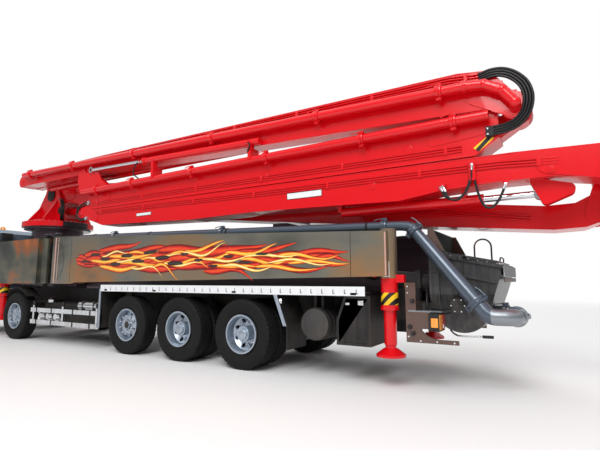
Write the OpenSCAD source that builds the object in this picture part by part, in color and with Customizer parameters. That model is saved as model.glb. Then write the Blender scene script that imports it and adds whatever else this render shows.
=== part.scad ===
// Truck-mounted concrete pump with a five-section folding boom, boom folded for the road.
// Every x is measured forward from the rearmost axle; y is positive to the left, z is up from the ground.

/* [Chassis] */
// Overall width of the truck
truck_w = 2500; // [2400:10:2600]
// Distance between two neighbouring rear axles
tandem_gap = 1370; // [1300:10:1450]
// Rearmost axle to the second steered axle
second_axle_x = 6830; // [6700:10:6900]
// Distance between the two steered axles
steer_gap = 1970; // [1900:10:2050]
// Height of the frame rails' lower edge
rail_z = 800; // [760:5:820]
// Height of a frame rail
rail_h = 270; // [220:5:300]
// Width of a frame rail's flanges
rail_flange = 85; // [60:5:95]
// Thickness of the rail's plate
rail_wall = 9; // [6:1:14]
// Outer width of the frame
frame_w = 870; // [820:5:900]
// Rear end of the frame, forward of the rearmost axle
frame_tail_x = -2560; // [-2620:10:-2500]

/* [Wheels] */
// Outer diameter of a tyre
tyre_d = 1070; // [1020:5:1090]
// Width of a tyre
tyre_w = 300; // [280:5:315]
// Diameter of the rim's bead seat
rim_d = 572; // [540:2:600]
// Gap between the two tyres of a twin wheel
twin_gap = 38; // [20:2:60]
// Radius of the wheel bearing's bore
hub_bore_r = 62; // [50:1:70]
// Running clearance at pins and bearings
pin_clear = 0.3; // [0.1:0.05:0.5]

/* [Cab] */
// Rear wall of the cab
cab_back_x = 8450; // [8440:10:8500]
// Length of the cab at its floor
cab_len = 1740; // [1700:10:1780]
// Width of the cab
cab_w = 2360; // [2300:10:2400]
// Height of the cab's floor
cab_floor_z = 1150; // [1130:5:1170]
// Height of the cab's roof
cab_roof_z = 2730; // [2650:5:2750]
// Thickness of the cab's walls and doors
cab_wall = 45; // [35:1:55]
// Gap round a door
door_gap = 8; // [6:1:12]

/* [Outriggers] */
// Hinge of the rear legs, forward of the rearmost axle
rear_hinge_x = 5440; // [5400:10:5460]
// Hinge of the front legs
front_hinge_x = 5860; // [5840:10:5900]
// Sideways place of all four hinges
hinge_y = 1110; // [1100:5:1120]
// Jack of the rear legs
rear_jack_x = -2340; // [-2400:10:-2300]
// Jack of the front legs
front_jack_x = 7820; // [7790:10:7840]
// Width of an outrigger beam
beam_w = 280; // [240:5:290]
// Height of the outrigger beams' upper edge at the hinges
beam_top_z = 2330; // [2300:5:2340]
// Height of their lower edge at the hinges
beam_bottom_z = 1290; // [1280:5:1310]
// Upper edge of a rear beam at its jack
beam_tip_top_z = 2000; // [1950:5:2030]
// Lower edge of a rear beam at its jack
beam_tip_bottom_z = 1410; // [1380:5:1450]
// Radius of a jack's outer tube
jack_r = 110; // [105:1:120]
// Radius of a jack's inner leg
leg_r = 82; // [75:1:90]
// Radius of a jack's foot
foot_r = 190; // [180:5:200]
// Height of a stowed foot's sole
foot_z = 385; // [350:5:450]
// Radius of an outrigger's hinge pin
hinge_pin_r = 48; // [40:1:55]

/* [Turret] */
// Slewing axis, forward of the rearmost axle
turret_x = 7450; // [7430:5:7470]
// Radius of the slewing ring
ring_r = 860; // [820:5:880]
// Height of the slewing ring's lower face
ring_z = 2760; // [2750:5:2770]
// Height of the slewing ring
ring_h = 130; // [110:5:140]
// Running gap between the turning and the fixed half of the ring
ring_gap = 0.3; // [0.2:0.1:0.5]
// Outer width across the turret's cheeks
turret_w = 660; // [650:2:666]
// Thickness of a cheek
cheek_t = 55; // [40:1:58]

/* [Boom] */
// Distance of the lift pivot ahead of the rearmost axle
lift_x = 7300; // [7290:5:7310]
// Height of the lift pivot
lift_z = 3640; // [3620:5:3650]
// Rear knuckle, between the first and second sections
knuckle_12_x = -4950; // [-4980:5:-4920]
// Height of that knuckle
knuckle_12_z = 2640; // [2620:5:2660]
// Front knuckle, between the second and third sections
knuckle_23_x = 4980; // [4950:5:5000]
// Height of that knuckle
knuckle_23_z = 2945; // [2940:1:2950]
// Rear knuckle, between the third and fourth sections
knuckle_34_x = -3950; // [-3970:5:-3930]
// Height of that knuckle
knuckle_34_z = 3470; // [3465:1:3475]
// Front knuckle, between the fourth and fifth sections
knuckle_45_x = 7600; // [7580:5:7620]
// Height of that knuckle
knuckle_45_z = 3920; // [3910:5:3930]
// Width of the first section
width_1 = 490; // [460:5:500]
// Width of the second and third sections
width_23 = 430; // [400:5:440]
// Width of the fourth section
width_4 = 290; // [270:5:295]
// Width of the fifth section
width_5 = 190; // [170:5:195]
// Radius of a knuckle's pin
knuckle_pin_r = 70; // [60:1:80]
// Outer radius of the delivery pipe
pipe_r = 66; // [60:1:68]
// Inner radius of the delivery pipe
pipe_bore_r = 62; // [56:0.5:62]

/* [Pump] */
// Front face of the hopper
hopper_front_x = -2790; // [-2800:5:-2780]
// Length of the hopper at its rim
hopper_len = 870; // [850:5:890]
// Width of the hopper at its rim
hopper_w = 1540; // [1500:10:1550]
// Height of the hopper's rim at its front
hopper_rim_z = 1730; // [1710:5:1740]
// Height of the hopper's rim at its rear lip
hopper_lip_z = 1550; // [1540:5:1560]
// Height of the agitator's shaft
agitator_z = 1040; // [1030:5:1050]
// Thickness of the hopper's plates
hopper_wall = 12; // [8:1:16]
// Radius of the agitator's shaft
agitator_r = 40; // [35:1:45]
// Outer radius of the outlet elbow behind the hopper
outlet_r = 95; // [88:1:98]

/* [Hidden] */
$fn = 48;
mid_x = 2540;
axle_x = [second_axle_x + steer_gap, second_axle_x, 2 * tandem_gap, tandem_gap, 0];
axle_z = tyre_d / 2;
half_w = truck_w / 2;
tyre_y = half_w - tyre_w / 2;
rail_y = frame_w / 2;
rail_top = rail_z + rail_h;
deck_z = 1430;
cab_front_x = cab_back_x + cab_len;
jack_y = half_w - foot_r - 5;
LEFT = 1;
RIGHT = -1;

// Moves everything from the rearmost axle to the part's origin under the middle of the vehicle.
module vehicle() {
  translate([-mid_x, 0, 0]) children();
}

// Draws its children on the given side: 1 for the left, -1 for the right.
module on_side(side) {
  if (side == LEFT) children();
  else mirror([0, 1, 0]) children();
}

// Draws its children on the left and mirrored on the right.
module both_sides() {
  children();
  mirror([0, 1, 0]) children();
}

// A plate whose outline is given as x and z, standing between two values of y.
module side_plate(y0, y1) {
  translate([0, y1, 0]) rotate([90, 0, 0]) linear_extrude(height = y1 - y0) children();
}

// A plate whose outline is given as y and z, standing between two values of x.
module cross_plate(x0, x1) {
  translate([x0, 0, 0]) rotate([90, 0, 90]) linear_extrude(height = x1 - x0) children();
}

// A box between two values of each of x, y and z.
module block(x0, x1, y0, y1, z0, z1) {
  translate([x0, y0, z0]) cube([x1 - x0, y1 - y0, z1 - z0]);
}

// A round bar along y, x or z.
module bar_y(x, z, y0, y1, r) {
  translate([x, y1, z]) rotate([90, 0, 0]) cylinder(h = y1 - y0, r = r);
}

module bar_x(y, z, x0, x1, r) {
  translate([x0, y, z]) rotate([0, 90, 0]) cylinder(h = x1 - x0, r = r);
}

module bar_z(x, y, z0, z1, r) {
  translate([x, y, z0]) cylinder(h = z1 - z0, r = r);
}

// A round bar from one point to another.
module bar_between(a, b, r) {
  d = b - a;
  flat = norm([d[0], d[1]]);
  translate(a) rotate([0, atan2(flat, d[2]), atan2(d[1], d[0])]) cylinder(h = norm(d), r = r);
}

// A vector's direction, of length 1.
function unit(v) = v / norm(v);

ball_over = 5;
elbow_over = 4;
elbow_lap = 3;

// A pipe of radius r through a list of points, with a ball a little larger than the pipe in each bend.
module pipe_run(points, r) {
  last = len(points) - 1;
  for (i = [1 : last]) bar_between(points[i - 1], points[i], r);
  for (i = [1 : 1 : last - 1]) translate(points[i]) sphere(r = r + ball_over);
}

// Round pipe through points with bent elbows of radius bend at the inner ones, a little thicker
// than the straights.
module bent_pipe(points, r, bend) {
  last = len(points) - 1;
  cut = [
    for (i = [0 : last])
      i == 0 || i == last ? 0 : tangent_len(points[i - 1], points[i], points[i + 1], bend)
  ];
  for (i = [1 : last]) {
    way = unit(points[i] - points[i - 1]);
    lap0 = i == 1 ? 0 : elbow_lap;
    lap1 = i == last ? 0 : elbow_lap;
    bar_between(points[i - 1] + (cut[i - 1] - lap0) * way, points[i] - (cut[i] - lap1) * way, r);
  }
  for (i = [1 : 1 : last - 1]) elbow(points[i - 1], points[i], points[i + 1], r + elbow_over, bend);
}

// Angle that a path turns by at b, and how far before b its bend starts.
function turn_at(a, b, c) = acos(unit(b - a) * unit(c - b));
function tangent_len(a, b, c, bend) = bend * tan(turn_at(a, b, c) / 2);

// Bent piece between the lines a-b and b-c.
module elbow(a, b, c, r, bend) {
  start = b - tangent_len(a, b, c, bend) * unit(b - a);
  z = unit(cross(unit(b - a), unit(c - b)));
  x = cross(unit(b - a), z);
  y = unit(b - a);
  centre = start - bend * x;
  multmatrix([
    [x[0], y[0], z[0], centre[0]], [x[1], y[1], z[1], centre[1]], [x[2], y[2], z[2], centre[2]],
  ]) rotate_extrude(angle = turn_at(a, b, c)) translate([bend, 0]) circle(r = r);
}

// Coupling ring on a pipe: its middle lies s along the way from a to b.
module coupling_ring(a, b, s, r, w) {
  way = unit(b - a);
  bar_between(a + way * (s - w / 2), a + way * (s + w / 2), r);
}

// CHASSIS

// One rail of the frame, a channel open inwards.
module rail() {
  difference() {
    block(frame_tail_x, cab_front_x - 260, rail_y - rail_flange, rail_y, rail_z, rail_top);
    block(frame_tail_x - 1, cab_front_x - 259, rail_y - rail_flange - 1, rail_y - rail_wall,
      rail_z + rail_wall, rail_top - rail_wall);
  }
}

// Frame: two rails, their cross-members and the cab's feet.
module chassis_frame() {
  // x of each cross-member
  members = [-2400, -1900, -685, 685, 2055, 3500, 5000, 6000, 7800, 9800];
  color("dimgray") vehicle() union() {
    both_sides() {
      rail();
      for (x = [cab_back_x + 20, cab_front_x - 300]) {
        block(x, x + 90, rail_y - 80, rail_y, rail_top - 1, cab_floor_z);
      }
    }
    for (x = members) {
      block(x - 45, x + 45, -rail_y + rail_wall, rail_y - rail_wall, rail_z + 40, rail_top - 40);
    }
  }
}

spindle_r = hub_bore_r - pin_clear;
spindle_end_y = tyre_y + 70;
king_y = 890;
king_r = 24;
beam_eye_r = 62;

// Leaf spring pack of one axle, hung under the frame rail.
module leaf_spring(x, half_len) {
  for (leaf = [0 : 3]) {
    block(x - half_len + 110 * leaf, x + half_len - 110 * leaf, rail_y - 80, rail_y,
      axle_z + 128 - 18 * leaf, axle_z + 146 - 18 * leaf);
  }
  for (s = [-1, 1]) {
    block(x + s * (half_len - 60) - 30, x + s * (half_len - 60) + 30, rail_y - 80, rail_y,
      axle_z + 140, rail_z);
  }
}

// Beam of a steered axle with the eyes for its steering knuckles.
module steered_beam(x) {
  both_sides() {
    difference() {
      union() {
        bar_z(x, king_y, axle_z - 60, axle_z + 60, beam_eye_r);
        block(x - 45, x + 45, 500, king_y - 30, axle_z - 45, axle_z + 35);
      }
      bar_z(x, king_y, axle_z - 61, axle_z + 61, king_r + pin_clear);
    }
    block(x - 60, x + 60, rail_y - 85, 502, axle_z - 75, axle_z + 75);
  }
  block(x - 45, x + 45, -rail_y + 84, rail_y - 84, axle_z - 75, axle_z + 15);
}

// Beam of an axle that isn't steered, with a differential where it is driven.
module fixed_beam(x, driven) {
  bar_y(x, axle_z, -spindle_end_y, spindle_end_y, spindle_r);
  both_sides() block(x - 62, x + 62, rail_y - 85, rail_y + 5, axle_z - 75, axle_z + 75);
  if (driven) {
    translate([x, 0, axle_z]) sphere(r = 215);
    bar_x(0, axle_z, x - 60, x + 330, 130);
  }
}

module axle_beams() {
  color("dimgray") vehicle() union() {
    for (i = [0, 1]) steered_beam(axle_x[i]);
    for (i = [2 : 4]) fixed_beam(axle_x[i], i > 2);
    both_sides() {
      for (i = [0 : 4]) leaf_spring(axle_x[i], i < 2 ? 760 : 590);
    }
  }
}

// Engine and gearbox as one plain block, on four feet that stand on the rails' lower flanges.
module engine_block() {
  color("gray") vehicle() union() {
    block(8600, 9700, -330, 330, 640, 1110);
    for (x = [8700, 9500]) {
      block(x, x + 100, -rail_y + rail_wall, rail_y - rail_wall, rail_z + rail_wall, rail_z + 60);
    }
  }
}

// Steering knuckle: king pin through the beam's eye, two lugs and the spindle.
module knuckle(axle, side) {
  x = axle_x[axle - 1];
  color("dimgray") vehicle() on_side(side) union() {
    bar_z(x, king_y, axle_z - 95, axle_z + 95, king_r);
    for (z = [axle_z - 95, axle_z + 65]) {
      bar_z(x, king_y, z, z + 30, beam_eye_r);
      block(x - 55, x + 55, king_y, king_y + 100, z, z + 30);
    }
    block(x - 55, x + 55, king_y + 72, king_y + 100, axle_z - 95, axle_z + 95);
    bar_y(x, axle_z, king_y + 72, spindle_end_y, spindle_r);
  }
}

module knuckle_1_left() { knuckle(1, LEFT); }
module knuckle_1_right() { knuckle(1, RIGHT); }
module knuckle_2_left() { knuckle(2, LEFT); }
module knuckle_2_right() { knuckle(2, RIGHT); }

// WHEELS

tyre_r = tyre_d / 2;
rim_r = rim_d / 2;
groove_d = 14;
groove_w = 12;

// Half section of a tyre: x is the radius, y the distance from its middle.
module tyre_section() {
  shoulder = tyre_w / 2 - 16;
  difference() {
    polygon([
      [rim_r + pin_clear, -tyre_w / 2 + 42], [rim_r + 40, -tyre_w / 2 + 22],
      [(rim_r + tyre_r) / 2 + 20, -tyre_w / 2], [tyre_r - 60, -tyre_w / 2 + 6],
      [tyre_r - 12, -shoulder], [tyre_r, -shoulder + 22],
      [tyre_r, shoulder - 22], [tyre_r - 12, shoulder],
      [tyre_r - 60, tyre_w / 2 - 6], [(rim_r + tyre_r) / 2 + 20, tyre_w / 2],
      [rim_r + 40, tyre_w / 2 - 22], [rim_r + pin_clear, tyre_w / 2 - 42],
    ]);
    for (g = [-1.5 : 1 : 1.5]) {
      translate([tyre_r - groove_d, g * tyre_w / 5 - groove_w / 2]) square([groove_d + 1, groove_w]);
    }
  }
}

module tyre_at(x, y) {
  translate([x, y, axle_z]) rotate([-90, 0, 0]) rotate_extrude() tyre_section();
}

module tyre(axle, side) {
  color("#1a1a1c") vehicle() on_side(side) tyre_at(axle_x[axle - 1], tyre_y);
}

twin_y = tyre_y - tyre_w - twin_gap;

module tyre_pair(axle, side) {
  color("#1a1a1c") vehicle() on_side(side) {
    tyre_at(axle_x[axle - 1], tyre_y);
    tyre_at(axle_x[axle - 1], twin_y);
  }
}

module tyre_1_left() { tyre(1, LEFT); }
module tyre_1_right() { tyre(1, RIGHT); }
module tyre_2_left() { tyre(2, LEFT); }
module tyre_2_right() { tyre(2, RIGHT); }
module tyre_3_left() { tyre(3, LEFT); }
module tyre_3_right() { tyre(3, RIGHT); }
module tyres_4_left() { tyre_pair(4, LEFT); }
module tyres_4_right() { tyre_pair(4, RIGHT); }
module tyres_5_left() { tyre_pair(5, LEFT); }
module tyres_5_right() { tyre_pair(5, RIGHT); }

rim_half = tyre_w / 2 - 34;
rim_wall = 14;
disc_t = 16;
hand_hole_r = 32;
hand_holes = 8;

// A wheel: rim barrel, and a disc whose face lies disc_y outside the rim's middle.
module rim_at(x, y, disc_y) {
  translate([x, y, axle_z]) rotate([-90, 0, 0]) difference() {
    rotate_extrude() {
      polygon([
        [rim_r, -rim_half], [rim_r + 12, -rim_half - 22], [rim_r - rim_wall, -rim_half - 22],
        [rim_r - rim_wall - 14, -rim_half + 30], [rim_r - rim_wall - 14, rim_half - 30],
        [rim_r - rim_wall, rim_half + 22], [rim_r + 12, rim_half + 22], [rim_r, rim_half],
      ]);
      polygon([
        [rim_r - rim_wall - 8, -20 + disc_y * 0.2], [rim_r - rim_wall - 8, disc_t + disc_y * 0.2],
        [170, disc_y], [hub_bore_r + 50, disc_y], [hub_bore_r + 50, disc_y - disc_t],
        [165, disc_y - disc_t],
      ]);
    }
    for (i = [0 : hand_holes - 1]) {
      rotate([0, 0, 360 * (i + 0.5) / hand_holes]) translate([212, 0, -300])
        cylinder(h = 600, r = hand_hole_r);
    }
  }
}

// The hub between a wheel's disc and the bearing, closed by a cap outside the spindle.
module hub_at(x, y_in, y_out) {
  difference() {
    union() {
      bar_y(x, axle_z, y_in, y_out, hub_bore_r + 55);
      bar_y(x, axle_z, y_out - 0.5, y_out + 26, hub_bore_r + 20);
    }
    bar_y(x, axle_z, y_in - 1, spindle_end_y + 5, hub_bore_r);
  }
}

front_disc_y = 95;

module rim(axle, side) {
  x = axle_x[axle - 1];
  color("silver") vehicle() on_side(side) union() {
    rim_at(x, tyre_y, front_disc_y);
    hub_at(x, tyre_y - 60, tyre_y + front_disc_y);
  }
}

twin_disc_y = -70;

module rim_pair(axle, side) {
  x = axle_x[axle - 1];
  color("silver") vehicle() on_side(side) union() {
    rim_at(x, tyre_y, twin_disc_y);
    rim_at(x, twin_y, tyre_w + twin_gap + twin_disc_y - disc_t - 60);
    hub_at(x, twin_y - 20, tyre_y + 80);
  }
}

module rim_1_left() { rim(1, LEFT); }
module rim_1_right() { rim(1, RIGHT); }
module rim_2_left() { rim(2, LEFT); }
module rim_2_right() { rim(2, RIGHT); }
module rim_3_left() { rim(3, LEFT); }
module rim_3_right() { rim(3, RIGHT); }
module rims_4_left() { rim_pair(4, LEFT); }
module rims_4_right() { rim_pair(4, RIGHT); }
module rims_5_left() { rim_pair(5, LEFT); }
module rims_5_right() { rim_pair(5, RIGHT); }

// CAB

cab_half = cab_w / 2;
screen_foot_z = cab_floor_z + 620;
screen_lean = 240;

// Side outline of the cab, drawn in by t.
module cab_side(t) {
  polygon([
    [cab_back_x + t, cab_floor_z + t], [cab_front_x - t - 20, cab_floor_z + t],
    [cab_front_x - t, screen_foot_z - 250], [cab_front_x - t - 20, screen_foot_z],
    [cab_front_x - screen_lean - t, cab_roof_z - 110],
    [cab_front_x - screen_lean - 120 - t, cab_roof_z - t],
    [cab_back_x + 160 + t, cab_roof_z - t], [cab_back_x + t, cab_roof_z - 110 - t],
  ]);
}

// Front outline of the cab, drawn in by t.
module cab_front(t) {
  w = cab_half - t;
  polygon([
    [-w, cab_floor_z + t], [w, cab_floor_z + t], [w, screen_foot_z],
    [w - 70, cab_roof_z - 170], [w - 200, cab_roof_z - t],
    [-w + 200, cab_roof_z - t], [-w + 70, cab_roof_z - 170], [-w, screen_foot_z],
  ]);
}

// Outer form of the cab, drawn in by t.
module cab_body(t) {
  intersection() {
    side_plate(-cab_half, cab_half) cab_side(t);
    cross_plate(cab_back_x, cab_front_x) cab_front(t);
  }
}

door_back_x = cab_back_x + 560;
door_front_x = cab_front_x - 210;
door_foot_z = cab_floor_z + 70;
door_top_z = cab_roof_z - 190;

// Outline of a door, drawn out by g.
module door_outline(g) {
  polygon([
    [door_back_x + 60 - g, door_foot_z + 90 - g], [door_back_x + 170 - g / 2, door_foot_z - g],
    [door_front_x + g, door_foot_z - g], [door_front_x + g, screen_foot_z + 20],
    [door_front_x - 150 + g, door_top_z + g], [door_back_x - g, door_top_z + g],
    [door_back_x - g, screen_foot_z],
  ]);
}

module side_window_outline() {
  polygon([
    [door_back_x + 90, screen_foot_z + 60], [door_front_x - 90, screen_foot_z + 20],
    [door_front_x - 215, door_top_z - 85], [door_back_x + 90, door_top_z - 85],
  ]);
}

// Windscreen opening: y and z seen from the front, drawn in by t.
module screen_outline(t) {
  w = cab_half - 150 - t;
  polygon([
    [-w, screen_foot_z + 70 + t], [w, screen_foot_z + 70 + t],
    [w - 80, cab_roof_z - 200 - t], [-w + 80, cab_roof_z - 200 - t],
  ]);
}

module back_window(t) {
  block(cab_back_x - 5, cab_back_x + cab_wall + 5, -480 + t, 480 - t,
    screen_foot_z + 150 + t, screen_foot_z + 560 - t);
}

door_pin_x = door_front_x + door_gap / 2;
door_pin_y = cab_half + 16;
door_pin_r = 8;
// Height of the lower face of each door hinge
door_hinges = [door_foot_z + 130, screen_foot_z - 170];

// Cab: hollow shell with door openings and window cuts.
module cab_shell() {
  color("#8c97a3") vehicle() union() {
    cab_panels();
    both_sides() {
      for (z = door_hinges) {
        bar_z(door_pin_x, door_pin_y, z - 12, z, 13);
        block(door_pin_x + 6, door_pin_x + 50, cab_half - 2, door_pin_y + 8, z - 12, z);
        bar_z(door_pin_x, door_pin_y, z - 1, z + 62, door_pin_r);
      }
    }
  }
}

module cab_panels() {
  difference() {
    cab_body(0);
    cab_body(cab_wall);
    side_plate(-cab_half - 10, cab_half + 10) door_outline(door_gap);
    cross_plate(cab_front_x - 420, cab_front_x + 10) screen_outline(0);
    back_window(0);
    both_sides() bar_y(axle_x[0], axle_z, king_y - 330, cab_half + 10, tyre_r + 85);
  }
}

glass_t = 6;
glass_inset = 18;

module cab_glass() {
  color([0.5, 0.6, 0.65, 0.4]) vehicle() {
    intersection() {
      difference() {
        cab_body(glass_inset);
        cab_body(glass_inset + glass_t);
      }
      cross_plate(cab_front_x - 420, cab_front_x + 10) screen_outline(0.3);
    }
    intersection() {
      back_window(0.3);
      block(cab_back_x + glass_inset, cab_back_x + glass_inset + glass_t, -500, 500,
        screen_foot_z, cab_roof_z);
    }
  }
}

// Left door with its window cut out.
module door_panel() {
  difference() {
    intersection() {
      cab_body(0);
      side_plate(cab_half - 400, cab_half + 10) door_outline(0);
    }
    cab_body(cab_wall);
    side_plate(cab_half - 410, cab_half + 20) side_window_outline();
    bar_y(axle_x[0], axle_z, king_y - 330, cab_half + 10, tyre_r + 85);
  }
}

module cab_door(side) {
  color("#8c97a3") vehicle() on_side(side) union() {
    door_panel();
    for (z = door_hinges) {
      difference() {
        union() {
          bar_z(door_pin_x, door_pin_y, z + pin_clear, z + 50, 14);
          block(door_pin_x - 70, door_pin_x, cab_half - 2, cab_half + 12, z + pin_clear, z + 50);
        }
        block(door_pin_x - 4, door_pin_x + 20, cab_half - 20, cab_half + 1, z - 1, z + 51);
        bar_z(door_pin_x, door_pin_y, z - 1, z + 51, door_pin_r + pin_clear);
      }
    }
  }
}

module cab_door_left() { cab_door(LEFT); }
module cab_door_right() { cab_door(RIGHT); }

// Seats, dashboard, steering wheel and the engine hump, on the cab's floor.
module cab_interior() {
  floor_z = cab_floor_z + cab_wall;
  seat_x = cab_back_x + 250;
  color("#33363a") vehicle() union() {
    block(cab_back_x + cab_wall, cab_front_x - cab_wall - 40, -330, 330, floor_z, floor_z + 190);
    for (y = [-620, 620]) {
      block(seat_x, seat_x + 500, y - 250, y + 250, floor_z + 300, floor_z + 430);
      block(seat_x + 80, seat_x + 420, y - 160, y + 160, floor_z, floor_z + 301);
      translate([seat_x + 60, y, floor_z + 420]) rotate([0, -12, 0])
        block(-60, 50, -240, 240, 0, 620);
    }
    side_plate(-cab_half + 130, cab_half - 130) polygon([
      [cab_front_x - 420, floor_z + 520], [cab_front_x - 400, floor_z + 300],
      [cab_front_x - 120, floor_z], [cab_front_x - 75, floor_z],
      [cab_front_x - 80, floor_z + 500], [cab_front_x - 330, floor_z + 600],
    ]);
    translate([cab_front_x - 420, 620, floor_z + 560]) rotate([0, -55, 0]) {
      cylinder(h = 20, r = 220);
      translate([0, 0, -160]) cylinder(h = 165, r = 35);
    }
  }
}

// Bumper, grille panel and steps, on the front of the frame.
module front_bumper() {
  color("#3b3e42") vehicle() union() {
    difference() {
      side_plate(-cab_half - 20, cab_half + 20) polygon([
        [cab_front_x - 330, 640], [cab_front_x - 330, 420], [cab_front_x - 160, 360],
        [cab_front_x + 60, 380], [cab_front_x + 80, 640], [cab_front_x + 20, 1120],
        [cab_front_x - 330, 1120],
      ]);
      block(cab_front_x - 340, cab_front_x - 90, -rail_y - 40, rail_y + 40, 350, 1130);
      both_sides() block(cab_front_x - 340, cab_front_x - 120, rail_y + 60, cab_half - 160, 460, 1130);
      both_sides() block(cab_front_x - 40, cab_front_x + 90, cab_half - 330, cab_half - 40, 470, 620);
      for (row = [0 : 3]) {
        block(cab_front_x - 20, cab_front_x + 90, -720, 720, 700 + 95 * row, 755 + 95 * row);
      }
    }
    both_sides() block(cab_front_x - 260, cab_front_x - 80, rail_y - 40, rail_y + 41, 860, 1000);
  }
}

// BASE OF THE SUPERSTRUCTURE

sub_top = 1250;
beam_gap = 70;
base_half = half_w - beam_w - beam_gap;
lug_top_z = beam_top_z + 12;
lug_bottom_z = beam_bottom_z - 12;
lug_t = 45;
neck_r = 620;
jack_tube_z = 980;

// Plates that hold the hinge pins of one side's two outriggers.
module hinge_brackets() {
  for (z = [lug_top_z, lug_bottom_z - lug_t]) {
    difference() {
      side_y = hinge_y + 95;
      translate([0, 0, z]) linear_extrude(height = lug_t) polygon([
        [rear_hinge_x - 170, base_half - 40], [rear_hinge_x - 95, hinge_y],
        [rear_hinge_x - 50, side_y], [front_hinge_x + 50, side_y],
        [front_hinge_x + 95, hinge_y], [front_hinge_x + 170, base_half - 40],
      ]);
      block(rear_hinge_x + 110, front_hinge_x - 110, base_half + 60, hinge_y + 110, z - 1, z + lug_t + 1);
    }
  }
  for (x = [rear_hinge_x, front_hinge_x]) {
    bar_z(x, hinge_y, lug_bottom_z - lug_t - 12, lug_top_z + lug_t + 12, hinge_pin_r);
  }
}

pedestal_x = 4950;
rest_x = -150;
rest_top_z = 2345;
rest_post_y = 335;

// Base of the superstructure: longitudinal box, hinge plates, pedestal, tank and boom rest.
module base_frame() {
  color("#4a4548") vehicle() union() {
    both_sides() {
      block(frame_tail_x, 8150, rail_y - 110, rail_y, rail_top, sub_top);
      hinge_brackets();
      block(pedestal_x, 6350, rail_y - 20, base_half, lug_bottom_z - lug_t, lug_top_z + lug_t);
      block(-2200, pedestal_x + 1, 640, 660, sub_top - 60, deck_z);
      for (x = [-2100, -400, 1300, 3000, 4600]) {
        block(x, x + 60, rail_y - 20, 641, sub_top - 60, sub_top);
      }
    }
    block(6349, 8200, -base_half, base_half, sub_top - 1, 2140);
    translate([turret_x, 0, 2139]) cylinder(h = ring_z - ring_gap - 2139, r = neck_r);
    translate([turret_x, 0, ring_z - ring_gap - 60]) cylinder(h = 60, r = ring_r - 60);
    block(pedestal_x, 6350, -rail_y + 19, rail_y - 19, sub_top - 1, deck_z + 180);
    block(2600, pedestal_x + 1, -660, 660, deck_z - 1, deck_z + 6);
    block(2700, 4500, -600, 600, deck_z + 5, 2100);
    for (x = [rest_x - 130, rest_x + 60]) {
      for (y = [-rest_post_y - 60, rest_post_y]) {
        block(x, x + 70, y, y + 60, sub_top - 1, rest_top_z - 60);
      }
    }
    block(rest_x - 140, rest_x + 140, -rest_post_y - 70, rest_post_y + 70, rest_top_z - 61, rest_top_z);
    both_sides() block(rest_x - 131, rest_x + 131, rest_post_y, 660, sub_top - 40, sub_top + 20);
    cooler_cabinet();
  }
}

// Cabinet of the oil cooler, on the right at the rear, with a louvred face.
module cooler_cabinet() {
  x0 = -2530;
  x1 = -1880;
  y0 = -870;
  top = 2090;
  difference() {
    block(x0, x1, y0, -400, sub_top - 50, top);
    for (z = [sub_top + 100 : 90 : top - 120]) {
      block(x0 - 1, x0 + 25, y0 + 50, -450, z, z + 45);
      block(x0 + 60, x1 - 60, y0 - 1, y0 + 20, z, z + 45);
    }
  }
}

// Rear outrigger, drawn on the left: hinge tube, tapering beam and the jack's outer tube.
module rear_beam() {
  y0 = half_w - beam_w;
  tip_x = rear_jack_x - 40;
  difference() {
    union() {
      side_plate(y0, half_w - 4) polygon([
        [rear_hinge_x - 140, beam_bottom_z], [rear_hinge_x - 140, beam_top_z],
        [tip_x, beam_tip_top_z], [tip_x, beam_tip_bottom_z],
        [rear_hinge_x - 1010, beam_bottom_z + 30], [rear_hinge_x - 800, beam_bottom_z],
      ]);
      bar_z(rear_hinge_x, hinge_y, beam_bottom_z, beam_top_z, hinge_pin_r + 45);
      block(rear_hinge_x - 150, rear_hinge_x, hinge_y - 60, hinge_y + 60, beam_bottom_z, beam_top_z);
      bar_z(rear_jack_x, jack_y, jack_tube_z, beam_tip_top_z + 40, jack_r);
    }
    bar_z(rear_hinge_x, hinge_y, beam_bottom_z - 1, beam_top_z + 1, hinge_pin_r + pin_clear);
    bar_z(rear_jack_x, jack_y, jack_tube_z - 1, beam_tip_top_z - 40, leg_r + pin_clear);
  }
}

// Front outrigger, drawn on the left.
module front_beam() {
  y0 = half_w - beam_w;
  tip_x = front_jack_x + 110;
  difference() {
    union() {
      side_plate(y0, half_w - 4) polygon([
        [front_hinge_x + 140, beam_bottom_z], [tip_x, beam_bottom_z],
        [tip_x, beam_top_z - 60], [tip_x - 60, beam_top_z], [front_hinge_x + 140, beam_top_z],
      ]);
      bar_z(front_hinge_x, hinge_y, beam_bottom_z, beam_top_z, hinge_pin_r + 45);
      block(front_hinge_x, front_hinge_x + 150, hinge_y - 60, hinge_y + 60, beam_bottom_z, beam_top_z);
      bar_z(front_jack_x, jack_y, jack_tube_z, beam_top_z + 20, jack_r);
    }
    bar_z(front_hinge_x, hinge_y, beam_bottom_z - 1, beam_top_z + 1, hinge_pin_r + pin_clear);
    bar_z(front_jack_x, jack_y, jack_tube_z - 1, beam_tip_top_z - 40, leg_r + pin_clear);
  }
}

module outrigger_front_left() { color("#6e6259") vehicle() front_beam(); }
module outrigger_front_right() { color("#6e6259") vehicle() mirror([0, 1, 0]) front_beam(); }
module outrigger_rear_left() { color("#6e6259") vehicle() rear_beam(); }
module outrigger_rear_right() { color("#6e6259") vehicle() mirror([0, 1, 0]) rear_beam(); }

// Inner leg and foot of a jack.
module jack(x, side) {
  color("crimson") vehicle() on_side(side) translate([x, jack_y, 0]) rotate_extrude() polygon([
    [0, foot_z], [foot_r, foot_z], [foot_r, foot_z + 30], [100, foot_z + 95],
    [70, foot_z + 110], [70, foot_z + 140], [leg_r, foot_z + 150],
    [leg_r, beam_tip_top_z - 140], [0, beam_tip_top_z - 140],
  ]);
}

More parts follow.
